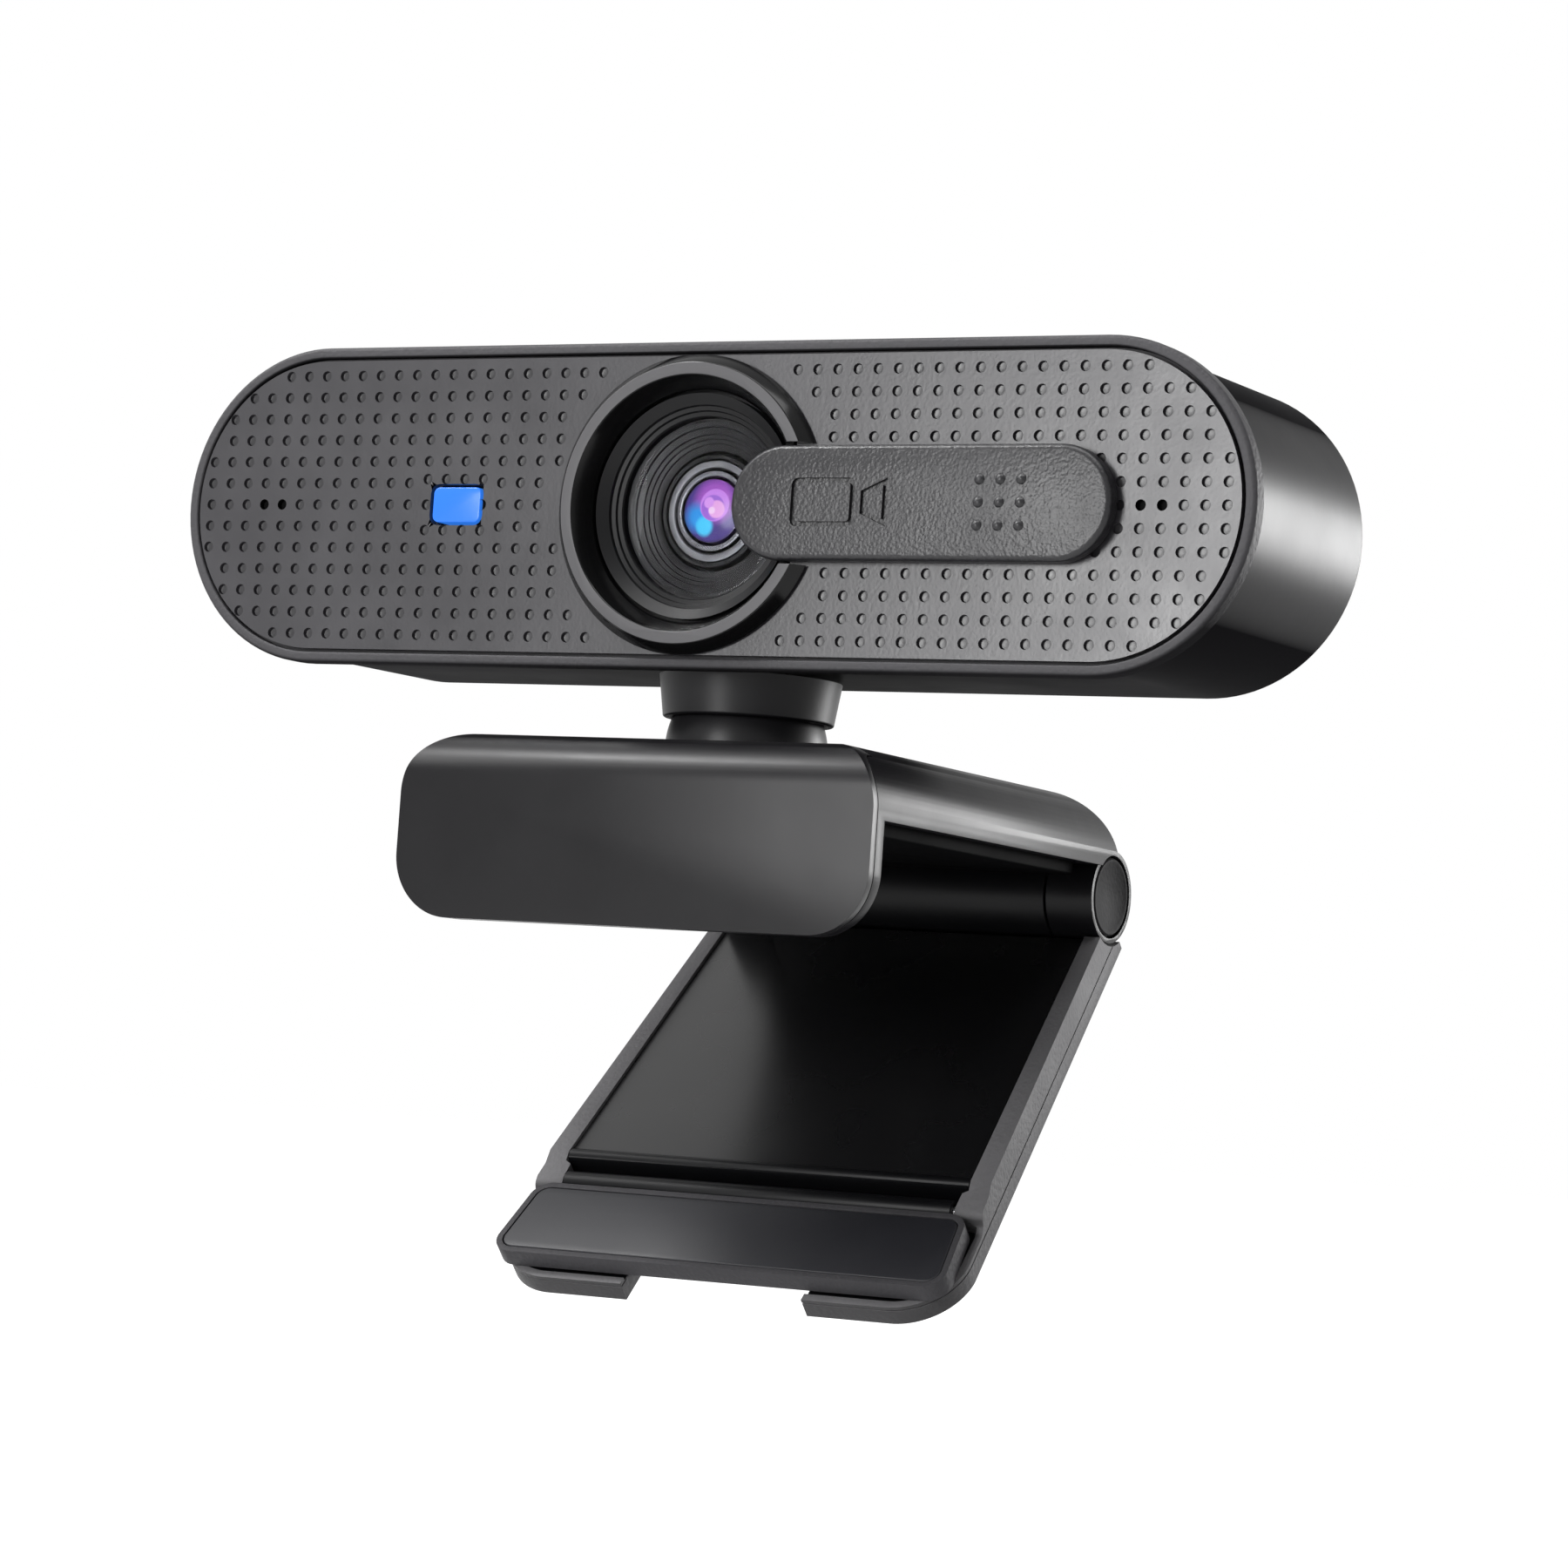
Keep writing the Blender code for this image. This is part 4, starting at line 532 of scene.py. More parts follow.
HALF_WIDTH, HALF_HEIGHT = high_corner("front_bezel").x, high_corner("front_bezel").z - LENS.z
REACH = HALF_WIDTH - HALF_HEIGHT
RIM_WIDTH = 1.0
BEZEL_BACK = high_corner("front_bezel").y - PANEL_Y
BEZEL_FLOOR = 1.0
LENS_HOLE = 11.7
INLET_HOLE = 3.0
WINDOW = middle("led_window")
WINDOW_HALF = (high_corner("led_window") - low_corner("led_window")) / 2
WINDOW_CORNER = 0.6


def window_outline(margin, steps=4):
    half_width, half_height = WINDOW_HALF.x + margin, WINDOW_HALF.z + margin
    return rounded(half_width, half_height, WINDOW_CORNER + margin, (WINDOW.x, 0), steps)


def build_bezel():
    inner = HALF_HEIGHT - RIM_WIDTH
    inner_edge, outer_edge, back_edge = 0.2, 0.4, 0.15
    profile = [(0, BEZEL_FLOOR), (inner, BEZEL_FLOOR)]
    profile += arc((inner + inner_edge, inner_edge), inner_edge, 2, 3, 3)
    profile += arc((HALF_HEIGHT - outer_edge, outer_edge), outer_edge, -1, 0, 5)
    profile += [(HALF_HEIGHT, BEZEL_BACK - back_edge), (HALF_HEIGHT - back_edge, BEZEL_BACK), (0, BEZEL_BACK)]
    mesh = turned("bezel", profile, reach=REACH, steps=4 * FINE, closed=False)
    mesh = shaped(
        mesh,
        (CUT, rod("hole", (0, 0, 0), LENS_HOLE, -THROUGH, THROUGH)),
        (CUT, slab("window", [window_outline(GAP)], -THROUGH, THROUGH)),
    )
    piece("bezel", mesh, RIM, "head", "textured_plastic", "front_bezel")


DIMPLE_PITCH, DIMPLE_RADIUS, DIMPLE_DEPTH, DIMPLE_STEPS = 2.0, 0.5, 0.42, 14
# For each row up from the lens's axis: the first and the last column from it
ROW_COLUMNS = {0: (8, 26), 1: (8, 26), 2: (7, 26), 3: (7, 25), 4: (7, 25), 5: (6, 24), 6: (5, 22)}
HOLE_COLUMNS = (22, 23)  # columns of the microphone holes, in the middle row
HOLE_FROM_MIC, HOLE_DEPTH = 1.0, 0.6
WINDOW_COLUMNS = (12, 13)  # columns that the window takes, in the middle row
NUDGED_COLUMNS, NUDGE = (11, 12, 13, 14), 0.35  # the dimples next to the window stand further off


def panel_places():
    """Places of the dimples and of the microphone holes in their grid."""
    mic_x = middle("microphone_right").x
    dimples, holes = [], []
    for row in range(-6, 7):
        first, last = ROW_COLUMNS[abs(row)]
        for side in (-1, 1):
            for column in range(first, last + 1):
                x, z = side * column * DIMPLE_PITCH, row * DIMPLE_PITCH
                if row == 0 and column in HOLE_COLUMNS:
                    offset = HOLE_FROM_MIC if column == HOLE_COLUMNS[1] else -HOLE_FROM_MIC
                    holes.append((side * (mic_x + offset), z))
                    continue
                if row == 0 and side < 0 and column in WINDOW_COLUMNS:
                    continue
                if abs(row) == 1 and side < 0 and column in NUDGED_COLUMNS:
                    z += row * NUDGE
                dimples.append((x, z))
    return dimples, holes


def filled(loops, inset, recesses):
    """Triangles between the panel's outline and the outlines inside it, as points and faces."""
    points, edges = [], []
    for loop in loops:
        start = len(points)
        points += [Vector(point) for point in loop]
        edges += [(start + i, start + (i + 1) % len(loop)) for i in range(len(loop))]
    made = geometry.delaunay_2d_cdt(points, edges, [], 0, 1e-5)
    places, faces = made[0], made[2]
    centres = np.array([sum((places[i] for i in face), Vector((0, 0))) / len(face) for face in faces])
    along = np.clip(centres[:, 0], -REACH, REACH)
    keep = np.hypot(centres[:, 0] - along, centres[:, 1]) < HALF_HEIGHT - inset
    keep &= np.hypot(*centres.T) > LENS_HOLE
    window = np.abs(centres - (WINDOW.x, 0)) < (WINDOW_HALF.x + GAP, WINDOW_HALF.z + GAP)
    keep &= ~window.all(axis=1)
    for place in recesses:
        keep &= np.hypot(*(centres - place).T) > DIMPLE_RADIUS * math.cos(math.pi / DIMPLE_STEPS)
    return places, [face for face, kept in zip(faces, keep) if kept]


def build_panel():
    """A flat face with hundreds of small round recesses."""
    inset = RIM_WIDTH + GAP
    dimples, holes = panel_places()
    recesses = dimples + holes
    thickness = high_corner("front_panel").y - low_corner("front_panel").y
    edges = [stadium(HALF_WIDTH - inset, HALF_HEIGHT - inset), circle((0, 0), LENS_HOLE), window_outline(GAP)]
    loops = edges + [circle(place, DIMPLE_RADIUS, DIMPLE_STEPS) for place in recesses]
    places, faces = filled(loops, inset, recesses)
    shape = bmesh.new()
    front = [shape.verts.new((x, 0, z)) for x, z in places]
    for face in faces:
        shape.faces.new([front[i] for i in face])

    def wall(rows):
        for first, second in zip(rows, rows[1:]):
            for i in range(len(first)):
                shape.faces.new((first[i], first[i - 1], second[i - 1], second[i]))

    for loop in edges:
        wall([[shape.verts.new((x, depth, z)) for x, z in loop] for depth in (0, thickness)])
    for index, place in enumerate(recesses):
        depth = HOLE_DEPTH if index >= len(dimples) else DIMPLE_DEPTH
        shares = ((1, 0), (0.98, 0.72), (0.86, 0.95), (0.5, 1))
        rows = []
        for wide, deep in shares:
            ring = circle(place, DIMPLE_RADIUS * wide, DIMPLE_STEPS)
            rows.append([shape.verts.new((x, depth * deep, z)) for x, z in ring])
        wall(rows)
        shape.faces.new(rows[-1])
    bmesh.ops.remove_doubles(shape, verts=shape.verts, dist=4 * WELD)
    bmesh.ops.recalc_face_normals(shape, faces=shape.faces)
    if sum(face.calc_area() * face.normal.y for face in shape.faces) > 0:
        bmesh.ops.reverse_faces(shape, faces=shape.faces)
    bmesh.ops.transform(shape, matrix=HEAD @ Matrix.Scale(MM, 4), verts=shape.verts)
    mesh = bpy.data.meshes.new("panel")
    shape.to_mesh(mesh)
    shape.free()

    # The holes' walls and floors take the painted shade.
    def in_hole(centre):
        inside = any(math.hypot(centre.x - x, centre.z - LENS.z - z) < DIMPLE_RADIUS for x, z in holes)
        return inside and centre.y > PANEL_Y + 0.01

    piece("panel", mesh, PANEL, "head", "panel_grey", "front_panel", inlay=(HOLE_SHADE, in_hole))


def build_shell():
    low, high = low_corner("rear_shell"), high_corner("rear_shell")
    radius = high.z - LENS.z
    front, back = low.y - PANEL_Y, high.y - PANEL_Y
    wall, front_edge, back_edge = 1.6, 0.1, 0.8
    profile = [(radius - wall, front), (radius - front_edge, front), (radius, front + front_edge)]
    profile += arc((radius - back_edge, back - back_edge), back_edge, 0, 1, 6)
    profile += [(0, back), (0, back - wall), (radius - wall, back - wall)]
    mesh = turned("shell", profile, reach=high.x - radius, steps=4 * FINE)
    mesh = shaped(mesh, (CUT, rod("inlet", (0, 0, 0), INLET_HOLE, back - THROUGH, back + THROUGH)))
    piece("shell", mesh, SHELL, "head", "satin_black", "rear_shell")


# Lens, in profiles of (radius, depth behind the panel's face)

RING_FRONT = -1.55
RING_STEPS = 128  # in a full turn


def build_ring():
    """The raised ring, open on the right where the shutter slides in."""
    bore, back_bore = 10.45, 11.4
    profile = [(12.6, RING_FRONT), (13.5, -0.3), (back_bore, -0.3), (back_bore, BEZEL_BACK)]
    profile += [(bore, BEZEL_BACK), (bore, 0.55), (11.5, RING_FRONT)]
    notch = block("notch", (0, -THROUGH, -5.4), (20, 0, 5.4))
    mesh = shaped(turned("ring", softened(profile, 0.12), steps=RING_STEPS), (CUT, notch))

    def on_edge(centre):
        return centre.y - PANEL_Y < RING_FRONT + 0.01

    # The ring's front face takes the painted sheen.
    piece("ring", mesh, RING, "head", "satin_black", "lens_ring", inlay=(RING_FRONT_SHEEN, on_edge))


def build_dish():
    """The stepped baffle between the ring and the lens."""
    outer, bore, back = 10.15, 5.4, 6.0
    flange, flange_front, flange_back = 12.0, 2.1, 2.9
    steps = [(9.95, 0.75), (9.2, 1.3), (9.1, 1.6), (8.75, 1.7), (8.65, 1.95), (8.3, 2.05), (8.2, 2.2),
             (8.2, 3.1), (7.5, 3.2), (7.42, 3.42), (6.85, 3.52), (6.8, 3.68), (6.45, 3.74), (6.4, 3.9),
             (6.05, 3.96), (6.0, 4.12), (5.6, 4.18)]
    profile = [(outer, 0.6), *steps, (bore, 4.3), (bore, back), (outer, back), (outer, flange_back),
               (flange, flange_back), (flange, flange_front), (outer, flange_front)]
    mesh = turned("dish", profile, steps=RING_STEPS)
    piece("dish", mesh, DISH, "head", "matte_black", "lens_baffle", smooth=30)


def build_lens():
    pane = softened([(0, 2.3), (7.9, 2.3), (7.9, 2.9), (0, 2.9)], 0.12, closed=False)
    mesh = turned("window_glass", pane, closed=False)
    piece("window_glass", mesh, COVER_GLASS, "head", "clear_glass", "cover_glass")
    barrel = [(5.1, 4.1), (5.0, 4.0), (4.75, 4.0), (4.7, 4.05)]
    barrel += [(4.7, 5.0), (3.9, 5.0), (3.9, 11.0), (5.1, 11.0)]
    piece("barrel", turned("barrel", barrel), DISH, "head", "matte_black", "lens_barrel")
    retainer = softened([(4.55, 4.08), (4.55, 4.85), (3.75, 4.85), (3.75, 4.3), (3.95, 4.08)], 0.06)
    mesh = turned("retainer", retainer)
    piece("retainer", mesh, DARK_STEEL, "head", "matte_black", "lens_retaining_ring")
    seat = softened([(3.6, 4.0), (3.6, 6.2), (3.0, 6.2), (3.0, 4.25), (3.2, 4.0)], 0.05)
    piece("seat", turned("seat", seat), SEAT_STEEL, "head", "steel", "lens_seat_ring")


def build_element():
    """The front lens, whose painted reflections are laid out from its own centre."""
    edge, rise, front, back = 2.85, 0.35, 4.0, 5.6
    curve = (edge**2 + rise**2) / (2 * rise)
    steps = 12
    radii = [edge * step / steps for step in range(steps + 1)]
    crown = [(radius, front - rise + curve - math.sqrt(curve**2 - radius**2)) for radius in radii]
    mesh = turned("element", [*crown, (edge, back), (0, back)], WORLD, closed=False)
    piece("element", mesh, LENS_REFLECTIONS_PAINTED, "head", "coated_glass", "front_element", place=HEAD)


def build_window():
    back = high_corner("led_window").y - PANEL_Y
    mesh = slab("status_window", [window_outline(0, 6)], 0, back)
    piece("status_window", mesh, LED, "head", "blue_window", "led_window", bevel=0.12)


SHUTTER_FRONT, SHUTTER_BACK = -1.8, -0.3
BUMPS_X, BUMP_RADIUS = 31.5, 0.58


def build_shutter():
    low, high = low_corner("privacy_shutter"), high_corner("privacy_shutter")
    half_height = (high.z - low.z) / 2
    centre, reach = (low.x + high.x) / 2, (high.x - low.x) / 2 - half_height
    front_edge, back_edge = 0.55, 0.1
    profile = [(0, SHUTTER_FRONT)]
    profile += arc((half_height - front_edge, SHUTTER_FRONT + front_edge), front_edge, -1, 0, 6)
    profile += [(half_height, SHUTTER_BACK - back_edge), (half_height - back_edge, SHUTTER_BACK)]
    profile += [(0, SHUTTER_BACK)]
    mesh = turned("shutter", profile, reach=reach, steps=4 * FINE, closed=False, centre=(centre, 0, 0))
    # A generic pictogram of a camera: a body outline and its lens cone
    front, engraving = SHUTTER_FRONT - 1, SHUTTER_FRONT + 0.35
    body = [rounded(3.15, 2.15, 0.6, (14.3, 0), 3), rounded(2.7, 1.7, 0.35, (14.3, 0), 3)]
    cone = [(18.05, -1.0), (20.65, -2.15), (20.65, 2.15), (18.05, 1.0)]
    cone_inner = [(18.5, -0.72), (20.2, -1.48), (20.2, 1.48), (18.5, 0.72)]
    mesh = shaped(
        mesh,
        (CUT, slab("body", body, front, engraving)),
        (CUT, slab("cone", [cone, cone_inner], front, engraving)),
        (JOIN, block("tab", (26.2, -1.2, -1.4), (30.8, 1.8, 1.4))),
    )
    piece("shutter", mesh, SHUTTER, "shutter", "textured_plastic", "privacy_shutter")
    dome = arc((0, SHUTTER_FRONT + 0.3), BUMP_RADIUS, 0, -1, 6)
    for row in (-1, 0, 1):
        for column in (-1, 0, 1):
            place = (BUMPS_X + column * DIMPLE_PITCH, 0, row * DIMPLE_PITCH)
            mesh = turned("bump", dome, closed=False, steps=16, centre=place)
            piece(f"shutter_bump_{row + 1}{column + 1}", mesh, SHUTTER, "shutter", "textured_plastic")


def build_inlet():
    """The rubber grommet of the cable, with three ribs."""
    back = high_corner("rear_shell").y - PANEL_Y
    bore, neck, flange, inside = 1.7, 2.7, 3.8, back - 3.5
    profile = [(flange, inside), (flange, back - 1.9), (neck, back - 1.9), (neck, back + 0.3)]
    profile.append((flange, back + 0.3))
    for rib in range(3):
        slimmer, further = 0.3 * rib, 0.45 * rib
        profile += [(3.7 - slimmer, back + 0.75 + further), (3.35 - slimmer, back + 0.85 + further)]
    profile += [(neck, back + 2.3), (bore, back + 2.3), (bore, inside)]
    piece("inlet", turned("inlet", softened(profile, 0.08)), RUBBER, "head", "black_rubber", "cable_inlet")


# Neck: heights from the dome's centre


def sphere_arc(radius, low, high, steps):
    first, last = math.asin(low / radius), math.asin(high / radius)
    angles = [first + (last - first) * step / steps for step in range(steps + 1)]
    return [(radius * math.cos(angle), radius * math.sin(angle)) for angle in angles]


def build_dome():
    """A hollow ball on a stem, slotted for the tilt screw."""
    top, radius, inner, bore = 5.2, 7.4, 4.4, 3.6
    stem, groove, stem_top, stem_end = 5.4, 4.8, -0.2, -4.0
    profile = [(0, top), *sphere_arc(radius, top, stem_top, 24), (stem, stem_top), (stem, -2.3)]
    profile += [(groove, -2.3), (groove, -3.2), (stem, -3.2), (stem, stem_end), (bore, stem_end)]
    profile += sphere_arc(inner, -math.sqrt(inner**2 - bore**2), inner, 12)
    mesh = turned("dome", profile, NECK, closed=False, axis="Z")
    mesh = shaped(mesh, (CUT, block("slot", (-1.5, -3.4, 2.2), (1.5, 3.4, 8), NECK)))
    piece("dome", mesh, COLLAR, "swivel", "textured_plastic", "neck_dome")


def build_collar():
    """The head's socket round the dome."""
    low, high = 2.6, high_corner("neck_collar").z - NECK.translation.z / MM
    inner, lower_outer, upper_outer, edge = 7.7, 7.83, 8.35, 0.25
    profile = [(upper_outer, high), *arc((lower_outer - edge, low + edge), edge, 0.06, -1, 5)]
    profile += sphere_arc(inner, low, high, 12)
    mesh = turned("collar", profile, NECK, axis="Z")
    piece("collar", mesh, COLLAR, "head", "textured_plastic", "neck_collar")


# Clip

HINGE_Y, HINGE_Z = HINGE.y / MM, HINGE.z / MM
HINGE_HALF = high_corner("hinge_cap_right").x
CAP_LOW, CAP_HIGH = low_corner("bridge_front_cap"), high_corner("bridge_front_cap")
TAPER = (CAP_HIGH.x - HINGE_HALF) / (HINGE_Y - CAP_LOW.y)
TOP, BOTTOM = CAP_HIGH.z, CAP_LOW.z
CORNER, WALL, SKIRT = 5.7, 1.5, 1.1
BROW, CAP_THICKNESS, BLOCK_THICKNESS, CAP_SEAM = 3.9, 0.9, 1.3, 0.15
BLOCK_BACK = CAP_LOW.y + CAP_THICKNESS + GAP + BLOCK_THICKNESS
REAR_RADIUS = 10.0  # of the bridge's top rear edge
BARREL = 4.4  # the hinge's outer radius
BARREL_HALF = 15.5  # half the length of the leg's part of the hinge
WIDE = 30  # half the width of cutters wider than the clip


def half_width_at(distance):
    return HINGE_HALF + TAPER * distance


def brow(radius):
    """Side view of a roll round the brow's axis, from an upright face to level."""
    return arc((CAP_LOW.y + BROW, TOP - BROW), radius, 2, 1, FINE)


def behind_cap(clearance, back):
    """Side view of what lies at least this far behind the cap, whose top rolls back over the bridge."""
    roll = brow(BROW - CAP_THICKNESS - clearance)
    end, over, under = CAP_HIGH.y + clearance, TOP + 2, BOTTOM - 2
    return [(roll[0][0], under), *roll, (end, roll[-1][1]), (end, over), (back, over), (back, under)]


def tunnel(inset, front, back, corner):
    """The clip's rounded front outline drawn back along it, tapered like the bridge."""
    half_height = (TOP - BOTTOM) / 2 - inset
    outline = rounded(CAP_HIGH.x - inset, half_height, corner, (0, (TOP + BOTTOM) / 2), FINE)
    mesh = slab("tunnel", [outline], front, back, matrix=WORLD)
    for vertex in mesh.vertices:
        vertex.co.x *= half_width_at(HINGE_Y - vertex.co.y / MM) / CAP_HIGH.x
    return mesh


def hinge_rod(radius, low, high, steps=96):
    return rod("rod", (0, HINGE_Y, HINGE_Z), radius, low, high, "X", WORLD, steps)


def build_bridge():
    rear = HINGE_Y + BARREL / 2
    centre_y, centre_z = rear - REAR_RADIUS, TOP - REAR_RADIUS
    roll = arc((centre_y, centre_z), REAR_RADIUS, 0, 1, FINE)
    top_rear = [point for point in roll[:-1] if point[1] > SKIRT + GAP]
    rear_at_skirt = centre_y + math.sqrt(REAR_RADIUS**2 - (SKIRT - centre_z) ** 2)
    front = behind_cap(CAP_SEAM, BLOCK_BACK)
    side = [(rear_at_skirt, SKIRT), *top_rear, (centre_y, TOP + 2), *reversed(front[:-2]), front[-1],
            (BLOCK_BACK, SKIRT)]
    cavity_side = slab("cavity_side", [behind_cap(GAP + BLOCK_THICKNESS, HINGE_Y)], -WIDE, WIDE, "YZ", WORLD)
    cavity = tunnel(WALL, BLOCK_BACK, HINGE_Y - BARREL - GAP, CORNER - WALL)
    disc_radius, disc_depth = 3.95, 0.8
    steps = [
        (KEEP, tunnel(0, CAP_LOW.y - 2, rear + 2, CORNER)),
        (CUT, shaped(cavity, (KEEP, cavity_side))),
        (CUT, hinge_rod(BARREL + GAP, -BARREL_HALF - GAP, BARREL_HALF + GAP)),
    ]
    for sign in (-1, 1):
        steps.append((JOIN, hinge_rod(BARREL, *sorted((sign * (BARREL_HALF + GAP), sign * HINGE_HALF)))))
        ends = sorted((sign * (HINGE_HALF - disc_depth), sign * (HINGE_HALF + 2)))
        steps.append((CUT, hinge_rod(disc_radius, *ends)))
    steps.append((CUT, rod("neck_hole", (0, 0, 0), 5.7, 0, TOP + 2, "Z", WORLD, 64)))
    mesh = shaped(slab("bridge", [side], -WIDE, WIDE, "YZ", WORLD), *steps)
    piece("bridge", mesh, BRIDGE, "bridge", "bridge_black", "bridge_shell", bevel=0.12, smooth=30)


def build_cap():
    """A thin plate whose top rolls back over the bridge."""
    outer, inner = brow(BROW), brow(BROW - CAP_THICKNESS)
    outer[-1] = (CAP_HIGH.y, TOP + 0.05)
    side = [(CAP_LOW.y, BOTTOM - 2), *outer, (CAP_HIGH.y, inner[-1][1]), *reversed(inner),
            (CAP_LOW.y + CAP_THICKNESS, BOTTOM - 2)]
    plate = slab("cap", [side], -WIDE, WIDE, "YZ", WORLD)
    mesh = shaped(plate, (KEEP, tunnel(0, CAP_LOW.y - 2, CAP_HIGH.y + 2, CORNER)))
    piece("cap", mesh, CAP, "bridge", "bridge_black", "bridge_front_cap", bevel=0.22, segments=4)


def build_hinge_discs():
    """Discs in the hinge's ends, each with a raised rim."""
    for sign, where in ((-1, "left"), (1, "right")):
        rim = [(0, -0.5), (3.7, -0.5), (3.7, -0.15), (3.55, 0), (3.3, 0), (3.15, -0.1), (0, -0.1)]
        profile = [(radius, sign * (HINGE_HALF + depth)) for radius, depth in rim]
        mesh = turned("hinge_disc", profile, WORLD, closed=False, axis="X", centre=(0, HINGE_Y, HINGE_Z))
        piece(f"hinge_disc_{where}", mesh, DISC, "bridge", "textured_plastic", f"hinge_cap_{where}")


SCREWS = ("front", "rear")


def build_plate():
    """The cover under the bridge, countersunk for its two screws."""
    low, high = low_corner("underside_cover"), high_corner("underside_cover")
    outline = [(sign * (half_width_at(HINGE_Y - y) - 2.0), y)
               for sign, y in ((1, low.y), (1, high.y), (-1, high.y), (-1, low.y))]
    mesh = slab("plate", [softened(outline, 0.6)], low.z, high.z, "XY", WORLD)
    steps = []
    for where in SCREWS:
        y = middle(f"cover_screw_{where}").y
        steps.append((CUT, rod("sink", (0, y, 0), 2.0, -2, 0.85, "Z", WORLD)))
        steps.append((CUT, rod("way", (0, y, 0), 1.1, -2, 3, "Z", WORLD)))
    # The plate takes the painted shade of the bridge's underside.
    piece("plate", shaped(mesh, *steps), PLATE_PAINTED_SHADE, "bridge", "bridge_black", "underside_cover", bevel=0.12)


def build_cover_screws():
    """Screws with a cross slot."""
    head, shank, tip, slot_depth = 1.7, 0.8, 0.5, 0.3
    for where in SCREWS:
        y, bottom = middle(f"cover_screw_{where}").y, low_corner(f"cover_screw_{where}").z
        top = high_corner(f"cover_screw_{where}").z
        profile = [(0, bottom), (1.4, bottom), (head, bottom + 0.25), (head, bottom + 0.4)]
        profile += [(shank, bottom + 0.4), (shank, top - 0.3), (tip, top), (0, top)]
        mesh = turned("screw", profile, WORLD, closed=False, axis="Z", steps=32, centre=(0, y, 0))
        steps = []
        for a, b in ((1.0, 0.2), (0.2, 1.0)):
            arm = block("arm", (-a, y - b, bottom - 1), (a, y + b, bottom + slot_depth), WORLD)
            steps.append((CUT, arm))
        mesh = shaped(mesh, *steps)
        piece(f"cover_screw_{where}_head", mesh, STEEL, "bridge", "steel", f"cover_screw_{where}")


# Leg: local -y runs along it from the hinge, z is off its plane towards the screen

LEG_LENGTH = HINGE_Y - BLOCK_BACK - GAP
LEG_BACK, LEG_FLOOR, LEG_INNER = -5.37, -3.77, -1.1
LEG_START, LEG_CORNER = 1.2, 6.0
RAIL, RAIL_END, EAR_INNER, EAR_END, RIM_TOP = 1.8, 39.3, 20.6, 42.0, -3.35
RIM_WALL = 0.8
PIVOT = LEG.inverted() @ Vector(JOINTS["flap_fold"]["pos_m"]) / MM
PIVOT_ALONG, PIVOT_OFF = -PIVOT.y, PIVOT.z
NOTCH, NOTCH_DEPTH, NOTCH_CORNER = 9.4, 4.5, 0.8


def leg_rod(radius, low, high, along=0.0, off=0.0, steps=96):
    return rod("rod", (0, -along, off), radius, low, high, "X", LEG, steps)


def mirrored(right):
    """The outline whose right half this is."""
    return right + [(-x, y) for x, y in reversed(right)]


def leg_outline(inset, corner):
    """The leg's plan: square at the hinge, rounded and notched at the foot."""
    end = LEG_LENGTH - inset
    right = [(half_width_at(LEG_START) - inset, -LEG_START)]
    right += arc((half_width_at(LEG_LENGTH) - inset - corner, -end + corner), corner, 0, -1, FINE)
    notch = NOTCH + inset
    corner_at = (notch - NOTCH_CORNER, NOTCH_DEPTH - LEG_LENGTH - NOTCH_CORNER)
    return mirrored([*right, (notch, -end), *arc(corner_at, NOTCH_CORNER, 0, 1, 5)])


def above(profile, name):
    """A cutter that takes away what lies over a side profile of (along the leg, off its plane)."""
    points = [*profile, (profile[-1][0], 4), (profile[0][0], 4)]
    return slab(name, [[(-along, off) for along, off in points]], -WIDE, WIDE, "YZ", LEG)


def on_leg(centre):
    """A place in the leg's own directions, from one in the world."""
    return LEG.inverted() @ (centre * MM) / MM


